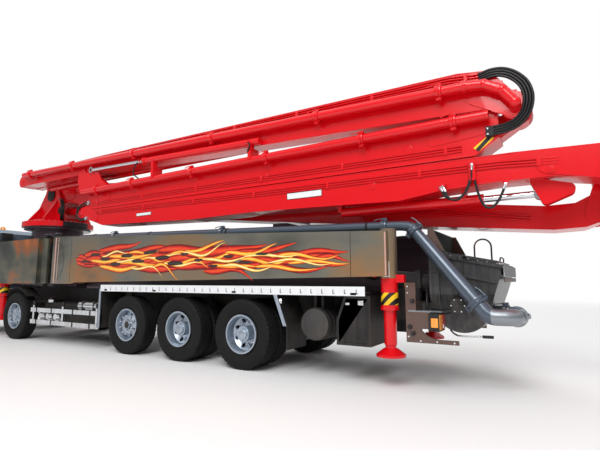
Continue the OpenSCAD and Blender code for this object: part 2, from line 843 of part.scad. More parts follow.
module jack_front_left() { jack(front_jack_x, LEFT); }
module jack_front_right() { jack(front_jack_x, RIGHT); }
module jack_rear_left() { jack(rear_jack_x, LEFT); }
module jack_rear_right() { jack(rear_jack_x, RIGHT); }

// SIDES AND TAIL

rail_strip_x0 = -2070;
rail_strip_x1 = 3560;

// Underrun bars end short of the second axle's tyres, which steer.
bar_x0 = 3600;
bar_x1 = 6140;
// Air tanks that show their ends between the bars: x of each
tank_ends_x = [5280, 5580, 5880];
tank_end_r = 105;
tank_face_y = 1150;
box_face_y = 940;

// Tanks and boxes between the third axle and the second.
module side_tanks() {
  block(3900, 6100, 519, box_face_y, 420, 861);
  for (x = tank_ends_x) {
    bar_y(x, 570, box_face_y - 1, tank_face_y - 40, tank_end_r);
    translate([x, tank_face_y - 41, 570]) rotate([-90, 0, 0]) cylinder(h = 41, r1 = tank_end_r, r2 = 60);
  }
  bar_x(1040, 835, 3800, 4470, 98);
  for (x = [3900, 4330]) block(x, x + 40, box_face_y - 60, 1040, 700, 861);
  translate([5900, box_face_y - 60, 861]) cylinder(h = 60, r = 100);
  translate([5900, box_face_y - 60, 920]) cylinder(h = 45, r1 = 100, r2 = 45);
}

// Guard over the top of the second axle's tyre, hung from the base.
module steered_fender() {
  x = axle_x[1];
  inner = tyre_r + 115;
  side_plate(940, half_w - 15) translate([x, axle_z]) difference() {
    circle(r = inner + 12, $fn = 120);
    circle(r = inner, $fn = 120);
    translate([-inner - 20, -inner - 20]) square([2 * inner + 40, inner + 20 + inner * sin(45)]);
  }
  block(x - 40, x + 40, 690, 960, axle_z + inner, axle_z + inner + 12);
  block(x - 40, x + 40, 690, 760, axle_z + inner, sub_top - 1);
}

// Storage box behind the rear wheels, with a slanted front, and the round silencer before it.
module rear_boxes() {
  side_plate(661, half_w - 30) polygon([
    [-2130, 1151], [-1760, 1151], [-1640, 820], [-1640, 500], [-2130, 500],
  ]);
  bar_y(-1250, 740, 520, 1130, 225);
  for (x = [-1330, -1210]) block(x, x + 40, 661, 1000, 940, 1151);
}

// Side rails, underrun bars, tanks, boxes and fenders of both sides.
module side_guards() {
  color("#26282b") vehicle() both_sides() {
    union() {
      block(rail_strip_x0, rail_strip_x1, 661, half_w - 12, 1150, 1195);
      block(rail_strip_x0, rail_strip_x1, half_w - 12, half_w - 2, 1150, 1275);
      block(rail_strip_x1 - 1, rail_strip_x1 + 50, 661, half_w - 12, 430, 1195);
      side_plate(661, half_w - 12) polygon([
        [-670, 1151], [-610, 1151], [-790, 700], [-850, 700],
      ]);
      block(-850, -838, 690, half_w - 20, 360, 710);
      for (z = [400, 660]) block(bar_x0, bar_x1, half_w - 60, half_w - 25, z, z + 90);
      for (x = [3700, 4900, 6060]) {
        block(x, x + 60, half_w - 90, half_w - 59, 400, 900);
        block(x, x + 60, rail_y, half_w - 60, 860, 900);
      }
      block(rail_strip_x1 - 1, bar_x1, 500, 520, 860, 1190);
      side_tanks();
      rear_boxes();
    }
    steered_fender();
  }
}

tail_plate_x = frame_tail_x - 80;
tail_y = 1090;
tail_t = 30;
tail_foot_z = 590;
tail_curve_r = 280;

// Side plate of the tail: upright strip and foot, joined by a round inner corner.
module tail_outline() {
  x0 = frame_tail_x - 10;
  corner = [x0 - 410, tail_foot_z + 50 + tail_curve_r];
  translate([x0 - 130, tail_foot_z]) square([130, 740]);
  translate([x0 - 630, tail_foot_z]) square([630, 50]);
  difference() {
    translate([corner[0], tail_foot_z]) square([410, 50 + tail_curve_r]);
    translate(corner) circle(r = tail_curve_r);
  }
}

// Rear side plates with their lamp housings and cross-beam.
module tail_frame() {
  lamp_x = tail_plate_x - 230;
  color("#6b5148") vehicle() union() {
    both_sides() {
      side_plate(tail_y, tail_y + tail_t) tail_outline();
      block(tail_plate_x, frame_tail_x, rail_y - 85, tail_y + 1, rail_z, rail_top);
      block(lamp_x, tail_plate_x + 1, tail_y, tail_y + tail_t, 760, 970);
      block(lamp_x - 120, lamp_x + 1, 920, 1195, 745, 955);
      block(lamp_x - 140, tail_plate_x + 1, tail_y - 120, tail_y + tail_t, 969, 981);
    }
    block(tail_plate_x, frame_tail_x, -rail_y, rail_y, rail_z, rail_top);
  }
}

// PUMP

hopper_back_x = hopper_front_x - hopper_len;
hopper_half = hopper_w / 2;
hopper_shoulder_z = 1430;
bowl_r = 360;
agitator_x = hopper_front_x - bowl_r;
rim_fall = atan((hopper_rim_z - hopper_lip_z) / hopper_len);

// Height of the rim's upper edge at a place along the hopper.
function rim_at_x(x) = hopper_rim_z - (hopper_front_x - x) * tan(rim_fall);

// Point where the rear wall, coming down from its shoulder, meets the round bottom of radius r.
function bowl_touch(from, r) =
  let (
    to = [agitator_x, agitator_z] - from,
    turn = atan2(to[1], to[0]) - asin(r / norm(to))
  )
  from + sqrt(norm(to) * norm(to) - r * r) * [cos(turn), sin(turn)];

// Side outline of the hopper, drawn in by t: sloping rim, shoulder and round bottom.
module hopper_side(t) {
  shoulder = [hopper_back_x + t, hopper_shoulder_z + t / 3];
  over = t > 0 ? 10 : 0;
  translate([agitator_x, agitator_z]) circle(r = bowl_r - t);
  polygon([
    [hopper_front_x - t, hopper_rim_z + over], [hopper_front_x - t, agitator_z], [agitator_x, agitator_z],
    bowl_touch(shoulder, bowl_r - t), shoulder, [hopper_back_x + t, hopper_lip_z + over],
  ]);
}

module hopper_cross(t) {
  w = hopper_half - t;
  floor_z = agitator_z - bowl_r;
  polygon([
    [-w, hopper_rim_z + 20], [-w, 1180], [-w + 190, floor_z], [w - 190, floor_z], [w, 1180],
    [w, hopper_rim_z + 20],
  ]);
}

// Body of the hopper, drawn in by t.
module hopper_body(t) {
  intersection() {
    side_plate(-hopper_half, hopper_half) hopper_side(t);
    cross_plate(hopper_back_x - 1, hopper_front_x + 1) hopper_cross(t);
  }
}

rim_flange = 30;

// Side outline of the rim's flange, a strip of the given height under the sloping edge.
module rim_strip(x0, x1, h) {
  polygon([[x0, rim_at_x(x0)], [x1, rim_at_x(x1)], [x1, rim_at_x(x1) - h], [x0, rim_at_x(x0) - h]]);
}

guard_top_z = 2060;

// Splash guard at the front of the hopper, with a wing on each side, and a grab hoop on the right.
module splash_guard() {
  side_plate(-hopper_half, hopper_half) polygon([
    [hopper_front_x - 12, hopper_rim_z - 41], [hopper_front_x - 12, guard_top_z],
    [hopper_front_x, guard_top_z], [hopper_front_x, hopper_rim_z - 41],
  ]);
  both_sides() side_plate(hopper_half - 12, hopper_half) polygon([
    [hopper_front_x - 1, hopper_rim_z - 41], [hopper_front_x - 1, guard_top_z],
    [hopper_front_x - 60, guard_top_z], [hopper_front_x - 210, rim_at_x(hopper_front_x - 210) + 60],
    [hopper_front_x - 330, rim_at_x(hopper_front_x - 330) - 20],
  ]);
  hoop_x = hopper_front_x - 460;
  translate([hoop_x, -hopper_half - 14, 1885]) rotate([90, 0, 0]) rotate_extrude(angle = 180)
    translate([125, 0]) circle(r = 13);
  for (s = [-125, 125]) bar_z(hoop_x + s, -hopper_half - 14, 1600, 1885, 13);
}

// Stub of the concrete outlet on the hopper's rear wall, left of the middle
outlet_y = 440;
outlet_z = 930;
outlet_end_x = hopper_back_x + 40;
outlet_back_x = hopper_back_x - 145;

grate_bar = 16;
grate_h = 36;
grate_half = hopper_half - 50;
// Line of hinges across the grate; the part before it is fixed, the part behind it lifts
grate_pin_x = hopper_back_x + 420;
grate_pin_z = rim_at_x(grate_pin_x) + 26;
grate_pins_y = [-500, 460];
grate_pin_r = 7;
grate_knuckle_w = 40;
grate_lug_t = 14;

// Bars of a grate between two distances behind its hinge line, lying along the sloping rim.
module grate_bars(s0, s1) {
  translate([grate_pin_x, 0, grate_pin_z]) rotate([0, -rim_fall, 0]) translate([0, 0, -20]) {
    difference() {
      block(-s1, -s0, -grate_half, grate_half, 0, grate_h);
      block(-s1 + 36, -s0 - 36, -grate_half + 36, grate_half - 36, -1, grate_h + 1);
    }
    for (y = [-grate_half + 100 : 140 : grate_half - 80]) {
      block(-s1 + 20, -s0 - 20, y, y + grate_bar, 0, grate_h);
    }
  }
}

// Hinge knuckle of the grate, from y along by w, with an arm reaching from x0 to x1 of the pin.
module grate_knuckle(y, w, x0, x1) {
  bar_y(grate_pin_x, grate_pin_z, y, y + w, 14);
  translate([grate_pin_x, 0, grate_pin_z]) rotate([0, -rim_fall, 0]) block(x0, x1, y, y + w, -10, 10);
}

// Hopper: open bowl with rim, splash guard, hoop, fixed front grate and outlet.
module hopper() {
  color("#2e3033") vehicle() union() {
    difference() {
      union() {
        hopper_body(0);
        side_plate(-hopper_half - rim_flange, hopper_half + rim_flange)
          rim_strip(hopper_back_x - rim_flange, hopper_front_x, 40);
        both_sides() bar_y(agitator_x, agitator_z, hopper_half - 90, hopper_half + 20, 2 * agitator_r);
        bar_x(outlet_y, outlet_z, outlet_end_x, agitator_x, outlet_r + 10);
      }
      hopper_body(hopper_wall);
      side_plate(-hopper_half + hopper_wall, hopper_half - hopper_wall)
        translate([0, 10]) rim_strip(hopper_back_x + hopper_wall, hopper_front_x - hopper_wall, 70);
      bar_y(agitator_x, agitator_z, -hopper_half - 60, hopper_half + 60, agitator_r + pin_clear);
    }
    splash_guard();
    both_sides() {
      block(hopper_front_x - 1, tail_plate_x, 600, 640, 900, 1060);
      translate([grate_pin_x, 0, grate_pin_z]) rotate([0, -rim_fall, 0])
        block(80, 300, grate_half - 20, hopper_half, -32, -10);
    }
    grate_bars((grate_pin_x - hopper_front_x + hopper_wall / 2) / cos(rim_fall), -22);
    for (y = grate_pins_y) {
      for (lug_y = [y - grate_lug_t - 2, y + grate_knuckle_w + 2]) grate_knuckle(lug_y, grate_lug_t, 0, 30);
      bar_y(grate_pin_x, grate_pin_z, y - grate_lug_t - 2, y + grate_knuckle_w + 3, grate_pin_r);
    }
  }
}

// Hinged rear part of the grate.
module hopper_grate() {
  color("#3b3e42") vehicle() difference() {
    union() {
      grate_bars(22, grate_pin_x - hopper_back_x - 30);
      for (y = grate_pins_y) grate_knuckle(y, grate_knuckle_w, -30, 0);
    }
    for (y = grate_pins_y) {
      bar_y(grate_pin_x, grate_pin_z, y - 1, y + grate_knuckle_w + 1, grate_pin_r + pin_clear);
    }
  }
}

// Shaft with paddles that turn clear of the bowl.
module agitator() {
  arm = 240;
  color("dimgray") vehicle() union() {
    bar_y(agitator_x, agitator_z, -hopper_half - 30, hopper_half + 30, agitator_r);
    for (i = [0 : 3]) {
      translate([agitator_x, (i - 1.5) * 330, agitator_z]) rotate([0, 90 * i, 0]) {
        block(-30, 30, -18, 18, 20, arm);
        block(-20, 20, -100, 100, arm - 40, arm);
      }
    }
  }
}

// Drive cylinders, water box and delivery cylinders, between the outriggers.
module pump_unit() {
  color("#35373b") vehicle() union() {
    for (y = [-190, 190]) {
      bar_between([2550, y, 1640], [700, y, 1560], 75);
      bar_between([300, y, 1545], [-2500, y, 1340], 135);
    }
    block(290, 710, -360, 360, 1400, 1740);
    block(-2560, -2480, -370, 370, sub_top, 1500);
    for (y = [-190, 190]) bar_x(y, 1330, hopper_front_x, -2550, 120);
    for (x = [-1800, 400, 2300]) block(x, x + 90, -rail_y + 30, rail_y - 30, sub_top, 1520);
  }
}

line_y = 850;
line_end_x = pedestal_x - 6;
// Axis of the tapered rise on the hopper's left side
rise_foot = [-3400, 1000, 1090];
rise_head = [-2640, line_y + 15, 2025];
rise_way = unit(rise_head - rise_foot);
rise_len = norm(rise_head - rise_foot);
// Deck line: it starts 90 mm beyond the rise's head
line_start = [(rise_head + 90 * rise_way)[0], line_y, (rise_head + 90 * rise_way)[2]];
line_end = [line_end_x, line_y, 2320];

// Height of the deck line's axis at a place along it.
function line_z(x) =
  line_start[2] + (line_end[2] - line_start[2]) * (x - line_start[0]) / (line_end[0] - line_start[0]);

// Delivery line: bend behind the hopper, tapered rise on the left, and the run along the deck.
module delivery_line() {
  outlet_bend = [
    rise_foot, rise_foot - 205 * rise_way, [outlet_back_x, 950, 925],
    [outlet_back_x, outlet_y, outlet_z], [outlet_end_x - pin_clear, outlet_y, outlet_z],
  ];
  color("#4b5563") vehicle() union() {
    bent_pipe(outlet_bend, outlet_r, 150);
    translate(rise_foot) rotate([0, acos(rise_way[2]), atan2(rise_way[1], rise_way[0])])
      cylinder(h = rise_len, r1 = outlet_r, r2 = pipe_r + 8);
    coupling_ring(rise_foot, rise_head, 0, outlet_r + 16, 50);
    coupling_ring(rise_foot, rise_head, rise_len, pipe_r + 18, 50);
    coupling_ring(outlet_bend[2], outlet_bend[3], 200, outlet_r + 16, 50);
    pipe_run([rise_head, line_start, line_end], pipe_r);
    for (s = [360, 3340, 6320]) coupling_ring(line_start, line_end, s, pipe_r + 16, 50);
    for (x = [-2000, 600, 2600, 4400]) {
      block(x, x + 60, line_y - 40, line_y + 40, 1390, line_z(x));
      block(x, x + 60, 660, line_y + 40, 1360, 1401);
    }
  }
}

// TURRET AND BOOM

cheek_y = turret_w / 2;
lift_base = [6850, 3190];
lift_eye = [5200, 2990];
ring_top = ring_z + ring_h;

// Turret: slewing ring's turning half with two gusseted cheeks.
module turret() {
  color("crimson") vehicle() union() {
    translate([turret_x, 0, ring_z]) cylinder(h = ring_h, r = ring_r);
    translate([turret_x, 0, ring_top - 1]) cylinder(h = 60, r1 = ring_r - 40, r2 = ring_r - 200);
    both_sides() {
      difference() {
        side_plate(cheek_y - cheek_t, cheek_y) union() {
          polygon([
            [turret_x - 740, ring_top], [turret_x - 740, 3300], [lift_x - 250, 3760],
            [lift_x + 250, 3760], [turret_x + 560, 3150], [turret_x + 640, ring_top],
          ]);
          translate([lift_x, lift_z]) circle(r = 300);
        }
        bar_y(lift_x, lift_z, cheek_y - cheek_t - 1, cheek_y + 1, knuckle_pin_r + 30);
      }
      translate([0, cheek_y - 1, 0]) gusset(turret_x - 420, 3480);
      translate([0, cheek_y - 1, 0]) gusset(turret_x + 320, 3370);
    }
    bar_y(lift_x, lift_z, -cheek_y - 20, cheek_y + 20, knuckle_pin_r + 30);
    bar_y(lift_base[0], lift_base[1], -cheek_y + 1, cheek_y - 1, 50);
    block(turret_x + 420, turret_x + 450, -cheek_y + 1, cheek_y - 1, ring_top, 3150);
  }
}

// Triangular rib that braces a cheek on the slewing ring; the front one is lower,
// so that the folded sections' front ends pass it as the boom is raised.
module gusset(x, top) {
  cross_plate(x - 15, x + 15) polygon([[0, ring_top], [330, ring_top], [330, ring_top + 60], [0, top]]);
}

lift_r = 105;
lift_dir = [lift_eye[0] - lift_base[0], 0, lift_eye[1] - lift_base[1]];
lift_len = norm(lift_dir);
lift_unit = lift_dir / lift_len;
lift_origin = [lift_base[0], 0, lift_base[1]];

// A bar along the lift cylinder between two distances from its base pin.
module lift_bar(s0, s1, r) {
  bar_between(lift_origin + lift_unit * s0, lift_origin + lift_unit * s1, r);
}

module lift_barrel() {
  color("crimson") vehicle() difference() {
    union() {
      bar_y(lift_base[0], lift_base[1], -130, 130, 100);
      lift_bar(40, lift_len - 260, lift_r);
    }
    bar_y(lift_base[0], lift_base[1], -131, 131, 50 + pin_clear);
    lift_bar(190, lift_len - 250, 60 + pin_clear);
  }
}

module lift_rod() {
  color("silver") vehicle() union() {
    lift_bar(220, lift_len - 70, 60);
    difference() {
      bar_y(lift_eye[0], lift_eye[1], -90, 90, 95);
      bar_y(lift_eye[0], lift_eye[1], -91, 91, 55);
    }
  }
}

y_23 = 665;
y_4 = 800;
y_5 = 505;

// A boom pipe on brackets: along x between two points [x, z] at one y.
module boom_pipe(a, b, y, wall_y) {
  bar_between([a[0], y, a[1]], [b[0], y, b[1]], pipe_r);
  n = 5;
  for (i = [1 : n - 1]) {
    coupling_ring([a[0], y, a[1]], [b[0], y, b[1]], norm(b - a) * i / n, pipe_r + 14, 56);
  }
  for (i = [1 : n]) {
    t = (i - 0.5) / n;
    x = a[0] + (b[0] - a[0]) * t;
    z = a[1] + (b[1] - a[1]) * t;
    block(x - 30, x + 30, min(y, wall_y), max(y, wall_y), z - 35, z + 35);
  }
}

// SECTION 1: [x, z] of its outline, rear tip turned up to the knuckle
outline_1 = [
  [lift_x - 60, lift_z - 255], [6600, 3385], [5500, 3225], [5150, 3185], [3500, 2900], [2000, 2605],
  [-500, 2350], [-2500, 2155], [-4250, 1995], [-4600, 2010], [-4900, 2120], [-5120, 2330],
  [-5180, 2560], [-4740, 2560], [-4700, 2420], [-4500, 2320], [-4170, 2310], [-2800, 2480],
  [0, 3000], [4000, 3620], [6600, 3860], [lift_x - 60, lift_z + 255],
];

// First section, from the lift pivot to the rear knuckle.
module boom_section_1() {
  half = width_1 / 2;
  color("crimson") vehicle() union() {
    difference() {
      side_plate(-half, half) union() {
        polygon(outline_1);
        translate([lift_x, lift_z]) circle(r = 262);
        translate([knuckle_12_x, knuckle_12_z]) circle(r = 235);
      }
      bar_y(lift_x, lift_z, -half - 1, half + 1, knuckle_pin_r + 30 + pin_clear);
    }
    bar_y(knuckle_12_x, knuckle_12_z, -half - 40, y_23 + width_23 / 2 + 40, knuckle_pin_r);
    for (y = [-150, 105]) {
      side_plate(y, y + 45) union() {
        polygon([
          [4980, 3200], [lift_eye[0] - 90, lift_eye[1]], [lift_eye[0] + 90, lift_eye[1]], [5440, 3240],
        ]);
        translate(lift_eye) circle(r = 92);
      }
    }
    boom_pipe([6500, 3560], [-4400, 2190], -half - 110, -half + 5);
  }
}

lug_r = 190;
lug_clear = 15;
beam_back = lug_r + lug_clear;

// SECTION 2
outline_2 = [
  [knuckle_12_x + 100, 2470], [-4300, 2560], [-3700, 2560], [-3000, 2520], [-2450, 2440],
  [-1500, 2465], [100, 2500], [1500, 2480], [4200, 2560], [knuckle_23_x - beam_back, 2740],
  [knuckle_23_x - beam_back, knuckle_23_z - 4], [-3900, 2905], [knuckle_12_x + 100, 2870],
];

cheek_23 = 90;

// Second section, back to the front knuckle, with its cylinder's barrel and link plates.
module boom_section_2() {
  y0 = y_23 - width_23 / 2;
  y1 = y_23 + width_23 / 2;
  color("crimson") vehicle() union() {
    difference() {
      side_plate(y0, y1) union() {
        polygon(outline_2);
        translate([knuckle_12_x, knuckle_12_z]) circle(r = 232);
      }
      bar_y(knuckle_12_x, knuckle_12_z, y0 - 1, y1 + 1, knuckle_pin_r + pin_clear);
    }
    for (y = [y0, y1 - cheek_23]) {
      side_plate(y, y + cheek_23) union() {
        translate([knuckle_23_x, knuckle_23_z]) circle(r = lug_r);
        polygon([
          [knuckle_23_x - beam_back - 60, 2735], [knuckle_23_x, knuckle_23_z - lug_r],
          [knuckle_23_x, knuckle_23_z - 4], [knuckle_23_x - beam_back - 60, knuckle_23_z - 4],
        ]);
      }
    }
    bar_y(knuckle_23_x, knuckle_23_z, y0 - 15, y1 + 15, knuckle_pin_r);
    boom_pipe([-4500, 2760], [4500, 2800], y0 - 100, y0 + 5);
    bar_between([-1500, y_23, 2380], [-3500, y_23, 2395], 70);
    for (x = [-1500, -3300]) block(x, x + 60, y_23 - 60, y_23 + 60, 2380, 2560);
    for (s = [-1, 1]) {
      side_plate(y_23 + s * 65 - 13, y_23 + s * 65 + 13) hull() {
        translate([-4110, 2520]) circle(r = 60);
        translate([-4430, 2420]) circle(r = 70);
        translate([-4200, 2310]) circle(r = 55);
      }
    }
    block(-4180, -4040, y_23 - 78, y_23 + 78, 2520, 2600);
  }
}

// Rod of the cylinder that opens the second section.
module fold_rod_2() {
  color("silver") vehicle() union() {
    bar_between([-3501, y_23, 2395], [-4080, y_23, 2400], 42);
    difference() {
      bar_y(-4140, 2400, y_23 - 45, y_23 + 45, 75);
      bar_y(-4140, 2400, y_23 - 46, y_23 + 46, 40);
    }
  }
}

// SECTION 3
outline_3 = [
  [knuckle_23_x - beam_back, knuckle_23_z + 4], [knuckle_23_x - beam_back, 3300], [4400, 3420],
  [knuckle_34_x + beam_back, knuckle_34_z - 4], [knuckle_34_x + beam_back, 3120],
  [knuckle_34_x + 500, 2925],
];

// Cylinder beside the third section: y, its rear end, and the eye at the end of its rod
fold_y = y_23 + width_23 / 2 + 135;
fold_foot = [-160, fold_y, 3660];
fold_eye = [4480, fold_y, 3795];
fold_way = unit(fold_eye - fold_foot);
fold_rod_r = 36;
fold_barrel_len = 2900;

// A bar along that cylinder between two distances from its foot.
module fold_bar_3(s0, s1, r) {
  bar_between(fold_foot + fold_way * s0, fold_foot + fold_way * s1, r);
}

// Brackets of that cylinder, outside the fourth section, and the rounded lug ahead of it.
module fold_brackets(y1) {
  for (x = [0, 2400]) {
    block(x, x + 60, y1 - 50, fold_y + 50, 3360, 3560);
    block(x, x + 60, fold_y - 60, fold_y + 50, 3559, 3680);
  }
  side_plate(y1 - 1, fold_y - 32) polygon([
    [3960, 3380], [4960, 3330], [5000, 3450], [4950, 3700], [4500, 3730], [4180, 3560], [3960, 3425],
  ]);
  side_plate(fold_y - 60, fold_y - 42) union() {
    polygon([[4960, 3440], [5060, 3600], [5030, 3800], [4300, 3750], [4180, 3560]]);
    translate([4900, 3760]) circle(r = 130);
    translate([4480, 3795]) circle(r = 80);
  }
}

// Third section, with the barrel of the cylinder beside it.
module boom_section_3() {
  y0 = y_23 - width_23 / 2;
  y1 = y_23 + width_23 / 2;
  tongue0 = y0 + cheek_23 + 10;
  tongue1 = y1 - cheek_23 - 10;
  color("crimson") vehicle() union() {
    side_plate(y0, y1) polygon(outline_3);
    difference() {
      side_plate(tongue0, tongue1) union() {
        translate([knuckle_23_x, knuckle_23_z]) circle(r = lug_r);
        polygon([
          [knuckle_23_x - beam_back - 60, knuckle_23_z + 4], [knuckle_23_x, knuckle_23_z + 4],
          [knuckle_23_x, knuckle_23_z + lug_r], [knuckle_23_x - beam_back - 60, 3290],
        ]);
      }
      bar_y(knuckle_23_x, knuckle_23_z, tongue0 - 1, tongue1 + 1, knuckle_pin_r + pin_clear);
    }
    side_plate(y0, y0 + 220) union() {
      translate([knuckle_34_x, knuckle_34_z]) circle(r = lug_r - 20);
      polygon([
        [knuckle_34_x + beam_back + 60, knuckle_34_z - 4], [knuckle_34_x, knuckle_34_z - 4],
        [knuckle_34_x, knuckle_34_z - lug_r + 20], [knuckle_34_x + beam_back + 60, 3125],
      ]);
    }
    bar_y(knuckle_34_x, knuckle_34_z, y0 + 1, y_4 + width_4 / 2 + 20, knuckle_pin_r);
    boom_pipe([4800, 3330], [-3650, 3390], y1 + 110, y1 - 5);
    difference() {
      union() {
        fold_bar_3(0, fold_barrel_len, 60);
        fold_brackets(y1);
      }
      fold_bar_3(1150, fold_barrel_len + 1, fold_rod_r + pin_clear);
    }
  }
}

// Rod of that cylinder.
module fold_rod_3() {
  color("silver") vehicle() union() {
    fold_bar_3(1250, norm(fold_eye - fold_foot) - 60, fold_rod_r);
    difference() {
      bar_y(fold_eye[0], fold_eye[2], fold_y - 27, fold_y + 27, 66);
      bar_y(fold_eye[0], fold_eye[2], fold_y - 28, fold_y + 28, 35);
    }
  }
}

// SECTION 4
outline_4 = [
  [knuckle_34_x + beam_back, knuckle_34_z + 4], [-1500, 3560], [4500, 3760], [7250, 3790],
  [7450, 3800], [7450, 4040], [7250, 4110], [4200, 4110], [-3300, 4040], [knuckle_34_x + beam_back, 3980],
];

// Fourth section, on top, with the upper pipe.
module boom_section_4() {
  y0 = y_4 - width_4 / 2;
  y1 = y_4 + width_4 / 2;
  color("crimson") vehicle() union() {
    side_plate(y0, y1) union() {
      polygon(outline_4);
      translate([knuckle_45_x, knuckle_45_z]) circle(r = 150);
      polygon([
        [7300, 3795], [knuckle_45_x, knuckle_45_z - 150], [knuckle_45_x, knuckle_45_z + 150], [7300, 4100],
      ]);
    }
    difference() {
      side_plate(y0 + 75, y1) union() {
        translate([knuckle_34_x, knuckle_34_z]) circle(r = lug_r - 20);
        polygon([
          [knuckle_34_x + beam_back + 60, knuckle_34_z + 4], [knuckle_34_x, knuckle_34_z + 4],
          [knuckle_34_x, knuckle_34_z + lug_r - 20], [knuckle_34_x + beam_back + 60, 3975],
        ]);
      }
      bar_y(knuckle_34_x, knuckle_34_z, y0, y1 + 1, knuckle_pin_r + pin_clear);
    }
    bar_y(knuckle_45_x, knuckle_45_z, y_5 - width_5 / 2 - 15, y1 + 15, knuckle_pin_r - 20);
    boom_pipe([7300, 4030], [-3400, 3790], y1 + 110, y1 - 5);
    pipe_run([
      [-3400, y1 + 110, 3790], [-3620, y1 + 110, 3765], [-3820, y1 + 110, 3650],
      [knuckle_34_x, y1 + 95, knuckle_34_z], [knuckle_34_x, y1 + 22, knuckle_34_z],
    ], pipe_r);
    bar_x(y1 + 110, 3790, -3430, -3370, pipe_r + 14);
  }
}

// SECTION 5
outline_5 = [
  [knuckle_45_x, knuckle_45_z - 140], [7300, 3785], [3000, 3800], [-3800, 3830], [-3800, 3970],
  [3000, 4040], [7300, 4060], [knuckle_45_x, knuckle_45_z + 140],
];

// Fifth section, on the inner side, with the end of the pipe.
module boom_section_5() {
  y0 = y_5 - width_5 / 2;
  y1 = y_5 + width_5 / 2;
  color("crimson") vehicle() union() {
    difference() {
      side_plate(y0, y1) union() {
        polygon(outline_5);
        translate([knuckle_45_x, knuckle_45_z]) circle(r = 140);
      }
      bar_y(knuckle_45_x, knuckle_45_z, y0 - 1, y1 + 1, knuckle_pin_r - 20 + pin_clear);
    }
    bar_x(y_5, end_z, end_x, 7000, 55);
    for (x = [-3600 : 2000 : 6500]) block(x, x + 50, y_5 - 40, y_5 + 40, 3735, 3835);
  }
}

end_z = 3735;
end_x = -3700;

// Coupling at the end of the delivery line, open towards the rear.
module delivery_end() {
  color("crimson") vehicle() translate([end_x, y_5, end_z]) rotate([0, -90, 0]) difference() {
    union() {
      cylinder(h = 300, r = pipe_r);
      translate([0, 0, 210]) cylinder(h = 60, r = pipe_r + 14);
    }
    translate([0, 0, 60]) cylinder(h = 300, r = pipe_bore_r);
  }
}

chassis_frame();
axle_beams();
engine_block();
cab_shell();
cab_glass();
cab_interior();
front_bumper();
base_frame();
side_guards();
delivery_line();
hopper();
pump_unit();
tail_frame();
cab_door_left();
cab_door_right();
knuckle_1_left();
knuckle_1_right();
knuckle_2_left();
knuckle_2_right();
tyre_1_left();
tyre_1_right();
tyre_2_left();
tyre_2_right();
tyre_3_left();
tyre_3_right();
tyres_4_left();
tyres_4_right();
tyres_5_left();
tyres_5_right();
rim_1_left();
rim_1_right();
rim_2_left();
rim_2_right();
rim_3_left();
rim_3_right();
rims_4_left();
rims_4_right();
rims_5_left();
rims_5_right();
outrigger_front_left();
outrigger_front_right();
outrigger_rear_left();
outrigger_rear_right();
jack_front_left();
jack_front_right();
jack_rear_left();
jack_rear_right();
turret();
lift_barrel();
lift_rod();
boom_section_1();
boom_section_2();
boom_section_3();
boom_section_4();
boom_section_5();
fold_rod_2();
fold_rod_3();
delivery_end();
hopper_grate();
agitator();
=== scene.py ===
"""Looks of the truck-mounted concrete pump: finishes, hydraulic lines, hoses, flames and fittings."""
from collections import namedtuple

import bpy
import numpy as np
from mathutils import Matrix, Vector


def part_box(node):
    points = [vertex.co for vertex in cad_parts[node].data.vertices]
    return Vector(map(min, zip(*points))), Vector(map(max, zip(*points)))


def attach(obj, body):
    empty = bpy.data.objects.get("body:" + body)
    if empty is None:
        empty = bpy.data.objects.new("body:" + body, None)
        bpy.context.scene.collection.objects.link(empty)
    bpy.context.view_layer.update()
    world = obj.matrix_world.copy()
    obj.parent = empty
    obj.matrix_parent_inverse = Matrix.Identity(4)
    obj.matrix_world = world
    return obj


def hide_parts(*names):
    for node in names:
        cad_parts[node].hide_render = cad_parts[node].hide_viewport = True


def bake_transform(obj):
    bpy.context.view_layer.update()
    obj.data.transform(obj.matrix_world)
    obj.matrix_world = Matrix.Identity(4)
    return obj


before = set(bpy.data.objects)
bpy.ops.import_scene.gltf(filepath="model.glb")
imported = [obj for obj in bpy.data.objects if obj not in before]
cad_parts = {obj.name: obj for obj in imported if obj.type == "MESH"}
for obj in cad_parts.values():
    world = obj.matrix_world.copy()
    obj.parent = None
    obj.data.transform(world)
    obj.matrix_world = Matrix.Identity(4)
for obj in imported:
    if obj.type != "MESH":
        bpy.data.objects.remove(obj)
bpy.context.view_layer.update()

# STUDIO
# A pale floor under a white room, lit by the room itself and by two large soft lamps, the stronger on the
# camera's side.
# The camera stands low at the rear left corner and looks a little upward, as in the photograph.
REAR_AXLE_X = (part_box("rims_5_left")[0].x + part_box("rims_5_left")[1].x) / 2
CAMERA_AT = (-4.28, 6.53, 1.35)
CAMERA_LOOKS = (0.514, -0.848, 0.130)
PHOTO_W = 600
FOCAL_PX = 426.8
SENSOR_W = 36.0

scene = bpy.context.scene
scene.view_settings.view_transform = "Standard"


def ahead(x):
    """x in the shared frame of a place that lies x metres ahead of the rearmost axle."""
    return REAR_AXLE_X + x


camera_data = bpy.data.cameras.new("camera")
camera_data.sensor_width = SENSOR_W
camera_data.lens = FOCAL_PX / PHOTO_W * SENSOR_W
camera_data.clip_end = 200
camera = bpy.data.objects.new("camera", camera_data)
scene.collection.objects.link(camera)
camera.location = (ahead(CAMERA_AT[0]), CAMERA_AT[1], CAMERA_AT[2])
camera.rotation_mode = "QUATERNION"
camera.rotation_quaternion = Vector(CAMERA_LOOKS).to_track_quat("-Z", "Y")
scene.camera = camera


